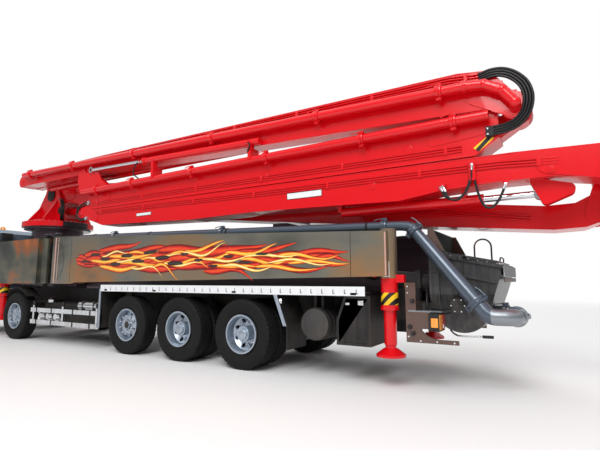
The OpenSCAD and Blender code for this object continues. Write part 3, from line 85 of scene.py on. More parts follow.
def area_lamp(name, at, aim, size, power):
    """A square soft lamp at one point, turned towards another."""
    data = bpy.data.lights.new(name, "AREA")
    data.size = size
    data.energy = power
    lamp = bpy.data.objects.new(name, data)
    scene.collection.objects.link(lamp)
    lamp.location = at
    lamp.rotation_mode = "QUATERNION"
    lamp.rotation_quaternion = (Vector(aim) - Vector(at)).to_track_quat("-Z", "Y")
    return lamp


area_lamp("lamp_left", (-7.0, 13.0, 13.0), (0, 0, 1.5), 9.0, 2100)
area_lamp("lamp_right", (8.0, -15.0, 12.0), (0, 0, 1.5), 10.0, 1200)


def node(tree, kind, *feeds, **values):
    """A new shader node. feeds go to its inputs in order, each a socket to link or a value to set, or None;
    names of values are inputs, or properties of the node."""
    made = tree.nodes.new("ShaderNode" + kind)
    for key, value in values.items():
        if hasattr(made, key):
            setattr(made, key, value)
        else:
            made.inputs[key.replace("_", " ")].default_value = value
    for end, feed in zip(made.inputs, feeds):
        if isinstance(feed, bpy.types.NodeSocket):
            tree.links.new(feed, end)
        elif feed is not None:
            end.default_value = feed
    return made


def maths(tree, operation, *feeds):
    """Result of a Math node."""
    return node(tree, "Math", *feeds, operation=operation).outputs[0]


def vector(tree, operation, *feeds, **values):
    """Result of a Vector Math node."""
    return node(tree, "VectorMath", *feeds, operation=operation, **values).outputs[0]


def between(tree, share, first, second, colours=False):
    """Mix of two numbers, or of two colours, by a share."""
    if colours:
        return node(tree, "Mix", share, None, None, None, None, None, first, second, data_type="RGBA").outputs[2]
    return node(tree, "Mix", share, None, first, second, data_type="FLOAT").outputs[0]


ROOM_LOW, ROOM_HIGH, ROOM_RISE = 0.22, 0.95, 0.75


def light_room():
    """White room: plain white where the camera looks past the truck; as a light it is bright overhead and dim at the
    horizon, like an open yard."""
    room = bpy.data.worlds.new("room")
    room.use_nodes = True
    tree = room.node_tree
    up = node(tree, "SeparateXYZ", node(tree, "TexCoord").outputs["Generated"]).outputs["Z"]
    level = node(tree, "MapRange", up, 0.0, ROOM_RISE, ROOM_LOW, ROOM_HIGH, interpolation_type="SMOOTHSTEP")
    seen = node(tree, "LightPath").outputs["Is Camera Ray"]
    tree.links.new(between(tree, seen, level.outputs["Result"], 1.0), tree.nodes["Background"].inputs["Strength"])
    tree.nodes["Background"].inputs["Color"].default_value = (1, 1, 1, 1)
    scene.world = room


light_room()


def linear(red, green, blue):
    """A colour given as 0 to 255 on the screen, in the linear values that shaders take."""
    part = np.array([red, green, blue]) / 255
    part = np.where(part <= 0.04045, part / 12.92, ((part + 0.055) / 1.055) ** 2.4)
    return (*part.tolist(), 1.0)


def new_material(name, colour, roughness, metallic=0.0, coat=0.0, coat_roughness=0.03):
    """A material with its Principled shader set; returns it with its nodes, links and that shader."""
    made = bpy.data.materials.new(name)
    made.use_nodes = True
    tree = made.node_tree
    shader = tree.nodes["Principled BSDF"]
    shader.inputs["Base Color"].default_value = colour
    shader.inputs["Roughness"].default_value = roughness
    shader.inputs["Metallic"].default_value = metallic
    shader.inputs["Coat Weight"].default_value = coat
    shader.inputs["Coat Roughness"].default_value = coat_roughness
    shader.inputs["Specular IOR Level"].default_value = 0.3
    return made, tree.nodes, tree.links, shader


FLOOR_HALF = 90.0
FLOOR_FADE = (10.0, 30.0)


def lay_floor():
    """Pale matt floor that turns into plain white with distance, so that no horizon shows."""
    h = FLOOR_HALF
    mesh = bpy.data.meshes.new("floor")
    mesh.from_pydata([(-h, -h, 0), (h, -h, 0), (h, h, 0), (-h, h, 0)], [], [(0, 1, 2, 3)])
    made = bpy.data.objects.new("floor", mesh)
    scene.collection.objects.link(made)
    paint, nodes, links, shader = new_material("floor_paint", (0.80, 0.80, 0.80, 1), 0.75)
    tree = paint.node_tree
    reach = node(tree, "VectorMath", node(tree, "TexCoord").outputs["Object"], operation="LENGTH").outputs["Value"]
    fade = node(tree, "MapRange", reach, *FLOOR_FADE).outputs["Result"]
    either = node(tree, "MixShader", fade, shader.outputs[0], node(tree, "Emission").outputs[0])
    links.new(either.outputs[0], nodes["Material Output"].inputs["Surface"])
    mesh.materials.append(paint)


lay_floor()

# PAINT AND DIRT
# Shared effects: road film that settles low on the vehicle and runs down its faces, the fine waviness
# of sprayed paint, and the cloudy colour of an airbrushed metallic finish.


def new_group(name, taken, given):
    """An empty node group, the sockets that bring what it takes, and those that its results go to."""
    group = bpy.data.node_groups.new(name, "ShaderNodeTree")
    for kind, label, *value in taken:
        made = group.interface.new_socket(name=label, in_out="INPUT", socket_type="NodeSocket" + kind)
        if value:
            made.default_value = value[0]
    for kind, label in given:
        group.interface.new_socket(name=label, in_out="OUTPUT", socket_type="NodeSocket" + kind)
    return group, group.nodes.new("NodeGroupInput").outputs, group.nodes.new("NodeGroupOutput").inputs


def film_group():
    """Road film. Its mask is noise plus vertical streaks, stronger near the ground, times the amount."""
    group, taken, given = new_group(
        "road_film", (("Color", "Colour", (0.5, 0.5, 0.5, 1)), ("Color", "Film Colour", (0.3, 0.27, 0.23, 1)),
         ("Float", "Amount", 0.4), ("Float", "Clean Above", 1.6), ("Float", "Roughness", 0.3)),
        (("Color", "Colour"), ("Float", "Roughness"), ("Float", "Film")))
    place = node(group, "TexCoord").outputs["Object"]
    height = node(group, "SeparateXYZ", place).outputs["Z"]
    low = node(group, "MapRange", height, 0.15, taken["Clean Above"], 1.0, 0.12).outputs[0]
    blotch = node(group, "TexNoise", place, Scale=3.5, Detail=6.0, Roughness=0.62).outputs[0]
    drawn_down = node(group, "Mapping", place, Scale=(16, 16, 0.9)).outputs[0]
    streak = node(group, "TexNoise", drawn_down, Scale=1.0, Detail=3.0).outputs[0]
    sharp = node(group, "MapRange", maths(group, "MULTIPLY", blotch, streak), 0.13, 0.42, 0.0, 1.0).outputs[0]
    by_height = maths(group, "MULTIPLY", sharp, low)
    mask = node(group, "Math", by_height, taken["Amount"], operation="MULTIPLY", use_clamp=True).outputs[0]
    tone = between(group, mask, taken["Colour"], taken["Film Colour"], colours=True)
    group.links.new(tone, given["Colour"])
    group.links.new(between(group, mask, taken["Roughness"], 0.85), given["Roughness"])
    group.links.new(mask, given["Film"])
    return group


def waviness_group():
    """Surface height: broad waves of thin plate plus the fine orange peel of sprayed paint."""
    group, taken, given = new_group("paint_waviness", (("Float", "Plate", 0.5), ("Float", "Peel", 0.5)),
                                    (("Float", "Height"),))
    place = node(group, "TexCoord").outputs["Object"]
    plate = node(group, "TexNoise", place, Scale=1.3, Detail=1.0).outputs[0]
    peel = node(group, "TexNoise", place, Scale=90.0, Detail=2.0).outputs[0]
    levels = [maths(group, "MULTIPLY", plate, taken["Plate"]), maths(group, "MULTIPLY", peel, taken["Peel"])]
    group.links.new(maths(group, "ADD", *levels), given["Height"])
    return group


def inside_box_group():
    """Mask of 1 inside a box. Low and High are its corners; y is taken without its sign, so it holds on both
    sides."""
    group, taken, given = new_group("inside_box", (("Vector", "Low"), ("Vector", "High")), (("Float", "Mask"),))
    spot = node(group, "SeparateXYZ", node(group, "TexCoord").outputs["Object"]).outputs
    folded = node(group, "CombineXYZ", spot["X"], maths(group, "ABSOLUTE", spot["Y"]), spot["Z"]).outputs[0]
    centre = vector(group, "SCALE", vector(group, "ADD", taken["Low"], taken["High"]), Scale=0.5)
    half = vector(group, "SUBTRACT", taken["High"], centre)
    away = vector(group, "ABSOLUTE", vector(group, "SUBTRACT", folded, centre))
    past = node(group, "SeparateXYZ", vector(group, "SUBTRACT", away, half)).outputs
    worst = maths(group, "MAXIMUM", maths(group, "MAXIMUM", past["X"], past["Y"]), past["Z"])
    group.links.new(maths(group, "LESS_THAN", worst, 0.0), given["Mask"])
    return group


def use_group(tree, group, **values):
    """A node that applies a group, with the values that its inputs take."""
    made = tree.nodes.new("ShaderNodeGroup")
    made.node_tree = group
    for key, value in values.items():
        made.inputs[key.replace("_", " ")].default_value = value
    return made


ROAD_FILM = film_group()
WAVINESS = waviness_group()
INSIDE_BOX = inside_box_group()
Finish = namedtuple("Finish", "colour roughness metallic coat")
RED = Finish(linear(214, 6, 20), 0.24, 0.0, 0.35)
BRONZE = Finish(linear(122, 116, 102), 0.30, 0.65, 0.7)
PURPLE = Finish(linear(62, 46, 56), 0.36, 0.35, 0.4)
TAIL_BROWN = Finish(linear(98, 74, 66), 0.34, 0.5, 0.5)
BLACK = Finish(linear(27, 27, 29), 0.5, 0.0, 0.0)
BLACK_GLOSS = Finish(linear(24, 24, 26), 0.22, 0.0, 0.6)
CAST = Finish(linear(58, 58, 60), 0.6, 0.2, 0.0)
CAB_BLUE = Finish(linear(118, 134, 150), 0.28, 0.45, 0.7)
MOULDED = Finish(linear(34, 35, 37), 0.6, 0.0, 0.0)
PIPE_GREY = Finish(linear(74, 86, 100), 0.3, 0.35, 0.6)
STEEL = Finish(linear(150, 156, 162), 0.34, 0.9, 0.0)
BRIGHT = Finish(linear(222, 224, 228), 0.16, 1.0, 0.0)
WHITE = Finish(linear(226, 228, 230), 0.38, 0.0, 0.3)
ALLOY = Finish(linear(172, 184, 198), 0.3, 0.8, 0.2)
RUBBER = Finish(linear(8, 8, 9), 0.74, 0.0, 0.0)
# The hopper's near-black grey: its dark paint with the shade over its outer wall painted in.
HOPPER_DARK_AND_SHADE = Finish(linear(44, 45, 48), 0.42, 0.2, 0.3)


def painted(name, finish, film=0.3, clean_above=1.6, film_colour=linear(112, 102, 90), plate=0.012,
            peel=0.0006, zones=(), pattern=None):
    """A sprayed or bare finish with road film and waviness. zones are (finish, (low, high), ...) with the corners
    of boxes that wear another finish; pattern builds nodes that return a socket with the base colour."""
    made, nodes, links, shader = new_material(name, finish.colour, finish.roughness, finish.metallic, finish.coat)
    tree = made.node_tree
    dirt = use_group(tree, ROAD_FILM, Colour=finish.colour, Film_Colour=film_colour, Amount=film,
                     Clean_Above=clean_above, Roughness=finish.roughness)
    ends = {"Colour": dirt.inputs["Colour"], "Roughness": dirt.inputs["Roughness"],
            "Metallic": shader.inputs["Metallic"], "Coat": shader.inputs["Coat Weight"]}
    starts = {"Colour": pattern(tree)} if pattern else {}
    for other, *boxes in zones:
        masks = [use_group(tree, INSIDE_BOX, Low=(ahead(low[0]), *low[1:]), High=(ahead(high[0]), *high[1:])).outputs[0]
                 for low, high in boxes]
        mask = masks[0]
        for more in masks[1:]:
            mask = maths(tree, "MAXIMUM", mask, more)
        for key, first, second in zip(ends, finish, other):
            starts[key] = between(tree, mask, starts.get(key, first), second, colours=key == "Colour")
    for key, start in starts.items():
        links.new(start, ends[key])
    links.new(dirt.outputs["Colour"], shader.inputs["Base Color"])
    links.new(dirt.outputs["Roughness"], shader.inputs["Roughness"])
    waves = use_group(tree, WAVINESS, Plate=plate, Peel=peel)
    bump = node(tree, "Bump", Strength=1.0, Distance=1.0)
    links.new(waves.outputs["Height"], bump.inputs["Height"])
    links.new(bump.outputs[0], shader.inputs["Normal"])
    return made


def wear(material, *nodes):
    """Gives CAD nodes one material."""
    for name in nodes:
        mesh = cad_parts[name].data
        mesh.materials.clear()
        mesh.materials.append(material)


PANEL_TONES = ((0.30, linear(92, 92, 84)), (0.44, linear(128, 126, 116)), (0.55, linear(150, 126, 98)),
               (0.64, linear(172, 122, 80)), (0.74, linear(120, 104, 84)))
FRONT_TONES = ((0.30, linear(40, 40, 44)), (0.41, linear(84, 86, 78)), (0.48, linear(112, 108, 92)),
               (0.55, linear(176, 100, 52)), (0.61, linear(226, 128, 58)), (0.67, linear(150, 92, 60)),
               (0.74, linear(70, 60, 56)))


def ramp(tree, share, stops):
    """Colour at a share along (place, colour) stops."""
    tones = node(tree, "ValToRGB", share)
    for place, colour in stops:
        tones.color_ramp.elements.new(place).color = colour
    tones.color_ramp.elements.remove(tones.color_ramp.elements[0])
    tones.color_ramp.elements.remove(tones.color_ramp.elements[-1])
    return tones.outputs["Color"]


def airbrushed(tree, stops=PANEL_TONES, scale=(0.55, 1.0, 1.1), swirl=0.0):
    """Base colour of the sprayed metallic panels: soft clouds in the given tones, stretched along the truck."""
    stretched = node(tree, "Mapping", node(tree, "TexCoord").outputs["Object"], Scale=scale).outputs[0]
    clouds = node(tree, "TexNoise", stretched, Scale=1.0, Detail=3.0, Roughness=0.5, Distortion=swirl).outputs[0]
    return ramp(tree, clouds, stops)


def front_clouds(tree):
    """The same for the front beams: darker, rounder clouds that swirl."""
    return airbrushed(tree, FRONT_TONES, (0.8, 1.0, 0.9), 0.5)


# Places on the vehicle, in metres ahead of the rearmost axle and above the ground
SIDE_Y = 1.25
JACKS = {"rear": -2.34, "front": 7.82}
JACK_Y = 1.055
RED_TUBE_TOP = 1.385

boom_red = painted("boom_red", RED, film=0.06, clean_above=4.0, film_colour=linear(120, 40, 40),
                   zones=[(BLACK, ((5.0, 0, 2.0), (9.0, 0.34, 2.9)))])
chassis_black = painted("chassis_black", BLACK, film=0.5)
guards = painted("guard_finish", BLACK, film=0.35, zones=[
    (WHITE, ((-2.2, 1.236, 1.15), (3.62, 1.3, 1.3))),
    (BRIGHT, ((3.55, 1.185, 0.3), (6.2, 1.3, 0.8)), ((3.79, 0.942, 0.737), (4.48, 1.15, 0.94)),
     ((5.16, 0.945, 0.45), (6.0, 1.16, 0.69)), ((5.79, 0.7, 0.862), (6.01, 1.0, 0.97))),
    (STEEL, ((3.61, 0.6, 0.43), (3.66, 1.24, 1.19))),
])
cast_grey = painted("cast_grey", CAST, film=0.55)
cab_paint = painted("cab_paint", CAB_BLUE, film=0.25)
moulded_black = painted("moulded_black", MOULDED, film=0.3)
pipe_grey = painted("pipe_grey", PIPE_GREY, film=0.15, zones=[
    (STEEL, ((-4.0, 0, 0.7), (-3.56, 1.25, 1.02)), ((-3.6, 0, 0.7), (-3.3, 0.62, 1.1)))])
deck_paint = painted("deck_paint", PURPLE, film=0.3, zones=[
    (BLACK, ((4.9, 1.0, 1.2), (6.4, 1.3, 2.5)), ((-3.0, 0.3, 1.0), (8.2, 0.44, 1.25)))])
tail_paint = painted("tail_paint", TAIL_BROWN, film=0.25, zones=[
    (BLACK, ((-3.1, 0.9, 0.74), (-2.865, 1.3, 0.957))), (STEEL, ((-3.1, 0.9, 0.965), (-2.6, 1.3, 0.985)))])
RED_TUBES = [((x - 0.14, 0.9, 0.9), (x + 0.14, 1.3, RED_TUBE_TOP)) for x in JACKS.values()]
beam_paint = painted("beam_paint", BRONZE, film=0.16, pattern=airbrushed, zones=[(RED, *RED_TUBES)])
front_beam_paint = painted("front_beam_paint", BRONZE, film=0.16, pattern=front_clouds, zones=[(RED, RED_TUBES[1])])
# The hopper's near-black finish is partly painted shade: the shadow on its outer wall is painted into its colour.
hopper_paint = painted("hopper_paint", HOPPER_DARK_AND_SHADE, film=0.5, film_colour=linear(132, 128, 122), clean_above=2.2,
                       zones=[
    (TAIL_BROWN, ((-2.84, 0, 1.7), (-2.7, 0.78, 2.2)), ((-3.2, 0.755, 1.75), (-2.78, 0.78, 2.2))),
    (BLACK_GLOSS, ((-3.5, 0.78, 1.6), (-3.0, 0.84, 2.1)))])
chrome = painted("chrome", BRIGHT, film=0.03)
alloy = painted("alloy", ALLOY, film=0.25)
rubber = painted("rubber", RUBBER, film=0.08, film_colour=linear(70, 66, 60))
glass, _, _, glass_shader = new_material("glass", linear(150, 165, 170), 0.03)
glass_shader.inputs["Transmission Weight"].default_value = 1.0

SIDES = ("left", "right")
SECTIONS = [f"boom_section_{n}" for n in range(1, 6)]
OUTRIGGERS = [f"outrigger_{end}_{side}" for end in ("front", "rear") for side in SIDES]
wear(boom_red, "turret", "lift_barrel", *SECTIONS, "delivery_end",
     *(name.replace("outrigger", "jack") for name in OUTRIGGERS))
wear(chrome, "lift_rod", "fold_rod_2", "fold_rod_3")
wear(chassis_black, "chassis_frame")
wear(guards, "side_guards")
wear(cast_grey, "axle_beams", "engine_block", "pump_unit", "agitator",
     *(f"knuckle_{n}_{side}" for n in (1, 2) for side in SIDES))
wear(cab_paint, "cab_shell", "cab_door_left", "cab_door_right")
wear(moulded_black, "front_bumper", "cab_interior")
wear(glass, "cab_glass")
wear(deck_paint, "base_frame")
wear(tail_paint, "tail_frame")
wear(front_beam_paint, *OUTRIGGERS[:2])
wear(beam_paint, *OUTRIGGERS[2:])
wear(pipe_grey, "delivery_line")
wear(hopper_paint, "hopper", "hopper_grate")
WHEELS = [f"_{n}_{side}" for n in (1, 2, 3) for side in SIDES] + [f"s_{n}_{side}" for n in (4, 5) for side in SIDES]
wear(rubber, *("tyre" + wheel for wheel in WHEELS))
wear(alloy, *("rim" + wheel for wheel in WHEELS))


def soften(thing, width):
    """A narrow bevel over sharp edges; returns the modifier."""
    edge = thing.modifiers.new("edges", "BEVEL")
    edge.width = width
    edge.segments = 2
    edge.limit_method = "ANGLE"
    return edge


# Softened edges of the pressed and welded plates
EDGE_BEVELS = {0.012: ("cab_shell", "cab_door_left", "cab_door_right", "front_bumper"),
               0.005: ("turret", *SECTIONS, *OUTRIGGERS),
               0.003: ("tail_frame", "base_frame", "side_guards")}
for width, nodes in EDGE_BEVELS.items():
    for name in nodes:
        soften(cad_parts[name], width).angle_limit = np.radians(32)

# TYRES
# Ten wheels' tyres in ribbed rubber: four grooves round the tread and lugs cut into the shoulders. Each
# replaces a CAD tyre or pair and rides on the wheel.


def grid_faces(rows, columns, close_rows=False, close_columns=False):
    """Quads of a surface whose points were laid out row by row."""
    i = np.arange(rows if close_rows else rows - 1)[:, None]
    j = np.arange(columns if close_columns else columns - 1)[None, :]
    i_next, j_next = (i + 1) % rows, (j + 1) % columns
    corners = [i * columns + j, i * columns + j_next, i_next * columns + j_next, i_next * columns + j]
    return np.stack(np.broadcast_arrays(*corners), -1).reshape(-1, 4).tolist()


def joined(parts):
    """Several (points, faces) put into one."""
    points, faces, count = [], [], 0
    for part_points, part_faces in parts:
        points.append(part_points)
        faces += [[index + count for index in face] for face in part_faces]
        count += len(part_points)
    return np.concatenate(points), faces


def flipped(part):
    """The part on the vehicle's other side."""
    points, faces = part
    return points * (1, -1, 1), [face[::-1] for face in faces]


def on_side(parts, sign):
    """Parts of the left side, or their mirror images for the right."""
    return parts if sign > 0 else [flipped(part) for part in parts]


def mirrored(parts):
    """Parts of the left side with their copies on the right."""
    return parts + on_side(parts, -1)


def piece(name, parts, material, body="chassis", bevel=0.0, crease=35.0, bends=None):
    """One visible object from (points, faces) parts given in metres ahead of the rearmost axle."""
    points, faces = joined(parts)
    mesh = bpy.data.meshes.new(name)
    mesh.from_pydata((points + (REAR_AXLE_X, 0, 0)).tolist(), [], faces)
    mesh.validate()
    mesh.polygons.foreach_set("use_smooth", np.ones(len(mesh.polygons), bool))
    mesh.set_sharp_from_angle(angle=np.radians(crease))
    mesh.materials.append(material)
    made = bpy.data.objects.new(name, mesh)
    scene.collection.objects.link(made)
    if bevel:
        soften(made, bevel)
    if bends:
        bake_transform(made)
    else:
        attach(made, body)
    return made


def pair(name, parts, material, body="chassis", **options):
    """A piece on each side, of the left side's parts and of their mirror images; a body other than the chassis is
    named without its side."""
    return [piece(f"{name}_{side}", on_side(parts, sign), material, body if body == "chassis" else f"{body}_{side}",
                  **options) for side, sign in zip(SIDES, (1, -1))]


TYRE_R, TYRE_W = 0.535, 0.300
AXLE_Z = TYRE_R
AXLES_X = (8.80, 6.83, 2.74, 1.37, 0.0)
FIRST_AXLES = 3
TYRE_Y = SIDE_Y - TYRE_W / 2
TWIN_Y = TYRE_Y - TYRE_W - 0.038
LUGS = 44
STEPS_PER_LUG = 6


def tyre_shape(x, y):
    """Surface (a, k): x = x0 + r sin a, y = y0 + section_y(k), z = axle + r cos a, where a is the angle round the axle
    and k runs over the section from bead to bead; r = section_r(k), less 9 mm in the slots of the shoulders' lugs."""
    across = np.array([-0.105, -0.120, -0.136, -0.146, -0.150, -0.149, -0.144, -0.138, -0.128])
    radius = np.array([0.288, 0.320, 0.345, 0.385, 0.430, 0.470, 0.500, 0.520, 0.532])
    tread_y = np.array([-0.118, -0.096, -0.086, -0.084, -0.072, -0.070, -0.035, -0.033, -0.021, -0.019])
    tread_r = np.array([0.5345, 0.535, 0.535, 0.524, 0.524, 0.535, 0.535, 0.524, 0.524, 0.535])
    section_y = np.concatenate([across, tread_y, -tread_y[::-1], -across[::-1]])
    section_r = np.concatenate([radius, tread_r, tread_r[::-1], radius[::-1]])
    turns = np.arange(LUGS * STEPS_PER_LUG)
    angle = turns * 2 * np.pi / len(turns)
    slot_here = (turns % STEPS_PER_LUG < 2)[:, None]
    shoulder = ((np.abs(section_y) > 0.09) & (section_r > 0.505))[None, :]
    r = section_r[None, :] - 0.009 * (slot_here & shoulder)
    a = angle[:, None]
    points = np.stack([x + r * np.sin(a), np.broadcast_to(y + section_y[None, :], r.shape), AXLE_Z + r * np.cos(a)], -1)
    return points.reshape(-1, 3), grid_faces(len(turns), len(section_y), close_rows=True)


for number, axle_x in enumerate(AXLES_X, 1):
    twin = number > FIRST_AXLES
    shapes = [tyre_shape(axle_x, TYRE_Y)] + ([tyre_shape(axle_x, TWIN_Y)] if twin else [])
    for side, tread in zip(SIDES, pair(f"tread_{number}", shapes, rubber, f"wheel_{number}", crease=28)):
        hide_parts(f"{'tyres' if twin else 'tyre'}_{number}_{side}")

# WHEEL NUTS AND HUBS
# Ten nuts on studs round each hub, and a stepped hub cap with its bolts; turned and plated steel, except the
# black cap of the third axle.


def revolved(profile, at, axis, sides=40, close=False):
    """Turns a profile of (radius, distance along the axis) round the axis: p = at + r (u cos a + v sin a) + s w."""
    profile = np.array(profile, float)
    w = np.eye(3)["xyz".index(axis)]
    u, v = np.roll(w, 1), np.roll(w, 2)
    a = np.arange(sides)[:, None, None] * 2 * np.pi / sides
    r, along = profile[None, :, 0, None], profile[None, :, 1, None]
    points = np.array(at) + r * (u * np.cos(a) + v * np.sin(a)) + along * w
    return points.reshape(-1, 3), grid_faces(sides, len(profile), close_rows=True, close_columns=close)


def studs(centres, axis, radius, height, sides=6):
    """Short prisms, such as nuts and bolt heads, standing on each centre along the axis."""
    centres = np.array(centres, float).reshape(-1, 1, 3)
    w = np.eye(3)["xyz".index(axis)]
    u, v = np.roll(w, 1), np.roll(w, 2)
    a = np.arange(sides)[:, None] * 2 * np.pi / sides
    ring = radius * (u * np.cos(a) + v * np.sin(a))
    layers = np.concatenate([ring, ring + 0.85 * height * w, 0.8 * ring + height * w])
    points = (centres + layers).reshape(-1, 3)
    one = grid_faces(3, sides, close_columns=True) + [list(range(2 * sides, 3 * sides))]
    faces = (np.arange(len(centres))[:, None] * 3 * sides)
    return points, [[index + int(start) for index in face] for start in faces[:, 0] for face in one]


def on_circle(count, radius, centre, axis, start=0.0):
    """Points round a centre: p = c + r (e cos a + g sin a), with e and g the two directions square to the axis."""
    e, g = np.delete(np.eye(3), "xyz".index(axis), axis=0)
    a = start + np.arange(count)[:, None] * 2 * np.pi / count
    return np.array(centre) + radius * (e * np.cos(a) + g * np.sin(a))


NUTS = 10
NUT_CIRCLE = 0.1675
SINGLE_FACES, TWIN_FACES = (0.095, 0.095), (-0.070, 0.080)  # rim's disc and hub, outwards from the outer tyre's middle
HUB_CAP = [(0.0, 0.034), (0.055, 0.032), (0.072, 0.022), (0.083, 0.0), (0.100, -0.002), (0.104, -0.012),
           (0.118, -0.014), (0.1185, -0.060)]
for number, axle_x in enumerate(AXLES_X, 1):
    disc_y, hub_y = np.add(TYRE_Y, TWIN_FACES if number > FIRST_AXLES else SINGLE_FACES)
    nut_at = on_circle(NUTS, NUT_CIRCLE, (axle_x, disc_y - 0.004, AXLE_Z), "y", np.pi / 2)
    pair(f"nuts_{number}", [studs(nut_at, "y", 0.0165, 0.045), studs(nut_at, "y", 0.010, 0.062, 10)], chrome,
         f"wheel_{number}")
    hub_bolts = studs(on_circle(8, 0.092, (axle_x, hub_y - 0.003, AXLE_Z), "y"), "y", 0.009, 0.012)
    pair(f"hub_{number}", [revolved(HUB_CAP, (axle_x, hub_y, AXLE_Z), "y", 48), hub_bolts],
         moulded_black if number == FIRST_AXLES else alloy, f"wheel_{number}")

# HYDRAULIC LINES
# Steel lines in the boom's red, in bundles of three or four: on the outer faces of sections 2 to 4, where small
# clamps hold them every metre or so, and on the side of section 1.


def smooth_path(points, per=8):
    """Points along a Catmull-Rom curve through the given ones."""
    p = np.array(points, float)
    p = np.concatenate([[2 * p[0] - p[1]], p, [2 * p[-1] - p[-2]]])
    t = np.linspace(0, 1, per, endpoint=False)[None, :, None]
    a, b, c, d = p[:-3, None], p[1:-2, None], p[2:-1, None], p[3:, None]
    curve = 0.5 * (2 * b + (c - a) * t + (2 * a - 5 * b + 4 * c - d) * t ** 2 + (3 * b - a - 3 * c + d) * t ** 3)
    return np.concatenate([curve.reshape(-1, 3), p[-2:-1]])


def tube(path, radius, sides=12):
    """A round tube along a path: ring k lies in the plane across the path at its point k."""
    path = np.array(path, float)
    way = np.gradient(path, axis=0)
    way /= np.linalg.norm(way, axis=1, keepdims=True)
    span = path[-1] - path[0]
    helper = np.eye(3)[np.argmin(np.abs(way).max(axis=0) + 0.01 * np.abs(span))]
    u = np.cross(way, helper)
    u /= np.linalg.norm(u, axis=1, keepdims=True)
    v = np.cross(way, u)
    a = np.arange(sides)[None, :, None] * 2 * np.pi / sides
    radius = np.broadcast_to(np.asarray(radius, float), len(path))[:, None, None]
    points = path[:, None] + radius * (u[:, None] * np.cos(a) + v[:, None] * np.sin(a))
    caps = [list(range(sides)), list(range((len(path) - 1) * sides, len(path) * sides))[::-1]]
    return points.reshape(-1, 3), grid_faces(len(path), sides, close_columns=True) + caps


def block(x0, x1, y0, y1, z0, z1):
    """A box between two x, two y and two z."""
    corners = np.array([(x, y, z) for x in (x0, x1) for y in (y0, y1) for z in (z0, z1)], float)
    return corners, [[0, 1, 3, 2], [4, 6, 7, 5], [0, 4, 5, 1], [2, 3, 7, 6], [0, 2, 6, 4], [1, 5, 7, 3]]


def line_bundle(corners, y, rises, radius):
    """Lines along x over (x, z) corners, one for each rise above them."""
    return [tube([(x, y, z + rise) for x, z in corners], radius, 10) for rise in rises]


def line_clamps(corners, y, rises, xs):
    """Clamp blocks over such a bundle at the given x."""
    known_x, known_z = np.array(corners).T
    order = np.argsort(known_x)
    heights = np.interp(xs, known_x[order], known_z[order])
    return [block(x - 0.022, x + 0.022, y - 0.016, y + 0.014, z + min(rises) - 0.02, z + max(rises) + 0.02)
            for x, z in zip(xs, heights)]


LINE_R = 0.0115
FACE_23, FACE_4 = 0.880, 0.945
RUNS = {
    2: ([(-4.35, 2.735), (-3.70, 2.775), (0.03, 2.800), (4.45, 2.865)], FACE_23 + 0.0125, (-0.035, 0.0, 0.035), 1.22),
    3: ([(-3.30, 3.010), (0.00, 3.015), (4.60, 3.030)], FACE_23 + 0.0125, (0.0, 0.035, 0.070), 1.31),
    4: ([(-3.60, 3.890), (-3.20, 3.945), (4.20, 4.015), (7.05, 4.020)], FACE_4 + 0.0125, (-0.046, -0.010, 0.026, 0.062),
        1.18),
}


def on_section(kind, section, parts, bevel=0.003):
    """A red piece of one boom section, named by its kind and the section's number."""
    return piece(f"{kind}_{section}", parts, boom_red, SECTIONS[section - 1], bevel=bevel)


for section, (corners, y, rises, spacing) in RUNS.items():
    first, last = corners[0][0] + 0.2, corners[-1][0] - 0.2
    clamp_x = np.linspace(first, last, int((last - first) / spacing) + 1)
    on_section("lines", section, line_bundle(corners, y, rises, LINE_R), 0.0)
    on_section("line_clamps", section, line_clamps(corners, y, rises, clamp_x), 0.004)
FIRST_RUN = [(6.3, 3.72), (4.2, 3.45), (0.0, 2.86), (-2.6, 2.42), (-4.0, 2.20)]
on_section("lines", 1, line_bundle(FIRST_RUN, 0.2575, (-0.07, -0.035, 0.0), LINE_R), 0.0)

# BOOM PLATEWORK
# Edge lips of the box sections, doubler plates with rounded ends at the knuckles and bosses over the pins, of steel
# plate in the boom's red, welded on; the turret's black bosses and the bolts of its slewing ring.


def slab(outline, y0, y1):
    """A plate between two y with an outline of (x, z) points."""
    outline = np.array(outline, float)
    n = len(outline)
    near = np.stack([outline[:, 0], np.full(n, y0), outline[:, 1]], 1)
    far = np.stack([outline[:, 0], np.full(n, y1), outline[:, 1]], 1)
    ring = [[i, (i + 1) % n, n + (i + 1) % n, n + i] for i in range(n)]
    return np.concatenate([near, far]), [list(range(n))[::-1], list(range(n, 2 * n))] + ring


def lip(edge, height, y0, y1):
    """A strip of the given height that follows an edge of (x, z) points; a negative height lies above it."""
    edge = np.array(edge, float)
    return slab(np.concatenate([edge, (edge - (0, height))[::-1]]), y0, y1)


def round_plate(a, b, radius_a, radius_b, y0, y1, per=14):
    """A link-shaped plate: two round ends at (x, z) points a and b joined by their common tangents."""
    a, b = np.array(a, float), np.array(b, float)
    way = np.arctan2(*(b - a)[::-1])
    lean = np.arccos((radius_a - radius_b) / np.linalg.norm(b - a))
    end_b = np.linspace(way - lean, way + lean, per)
    end_a = np.linspace(way + lean, way + 2 * np.pi - lean, per)
    outline = np.concatenate([b + radius_b * np.stack([np.cos(end_b), np.sin(end_b)], 1),
                              a + radius_a * np.stack([np.cos(end_a), np.sin(end_a)], 1)])
    return slab(outline, y0, y1)


def boss(x, z, y, radius, thick=0.012):
    """A turned boss with a chamfered rim and a pin's end on a side face."""
    return revolved([(0.0, thick + 0.006), (0.42 * radius, thick + 0.006), (0.45 * radius, thick),
                     (0.92 * radius, thick), (radius, 0.6 * thick), (radius, -0.01)], (x, y, z), "y", 36)


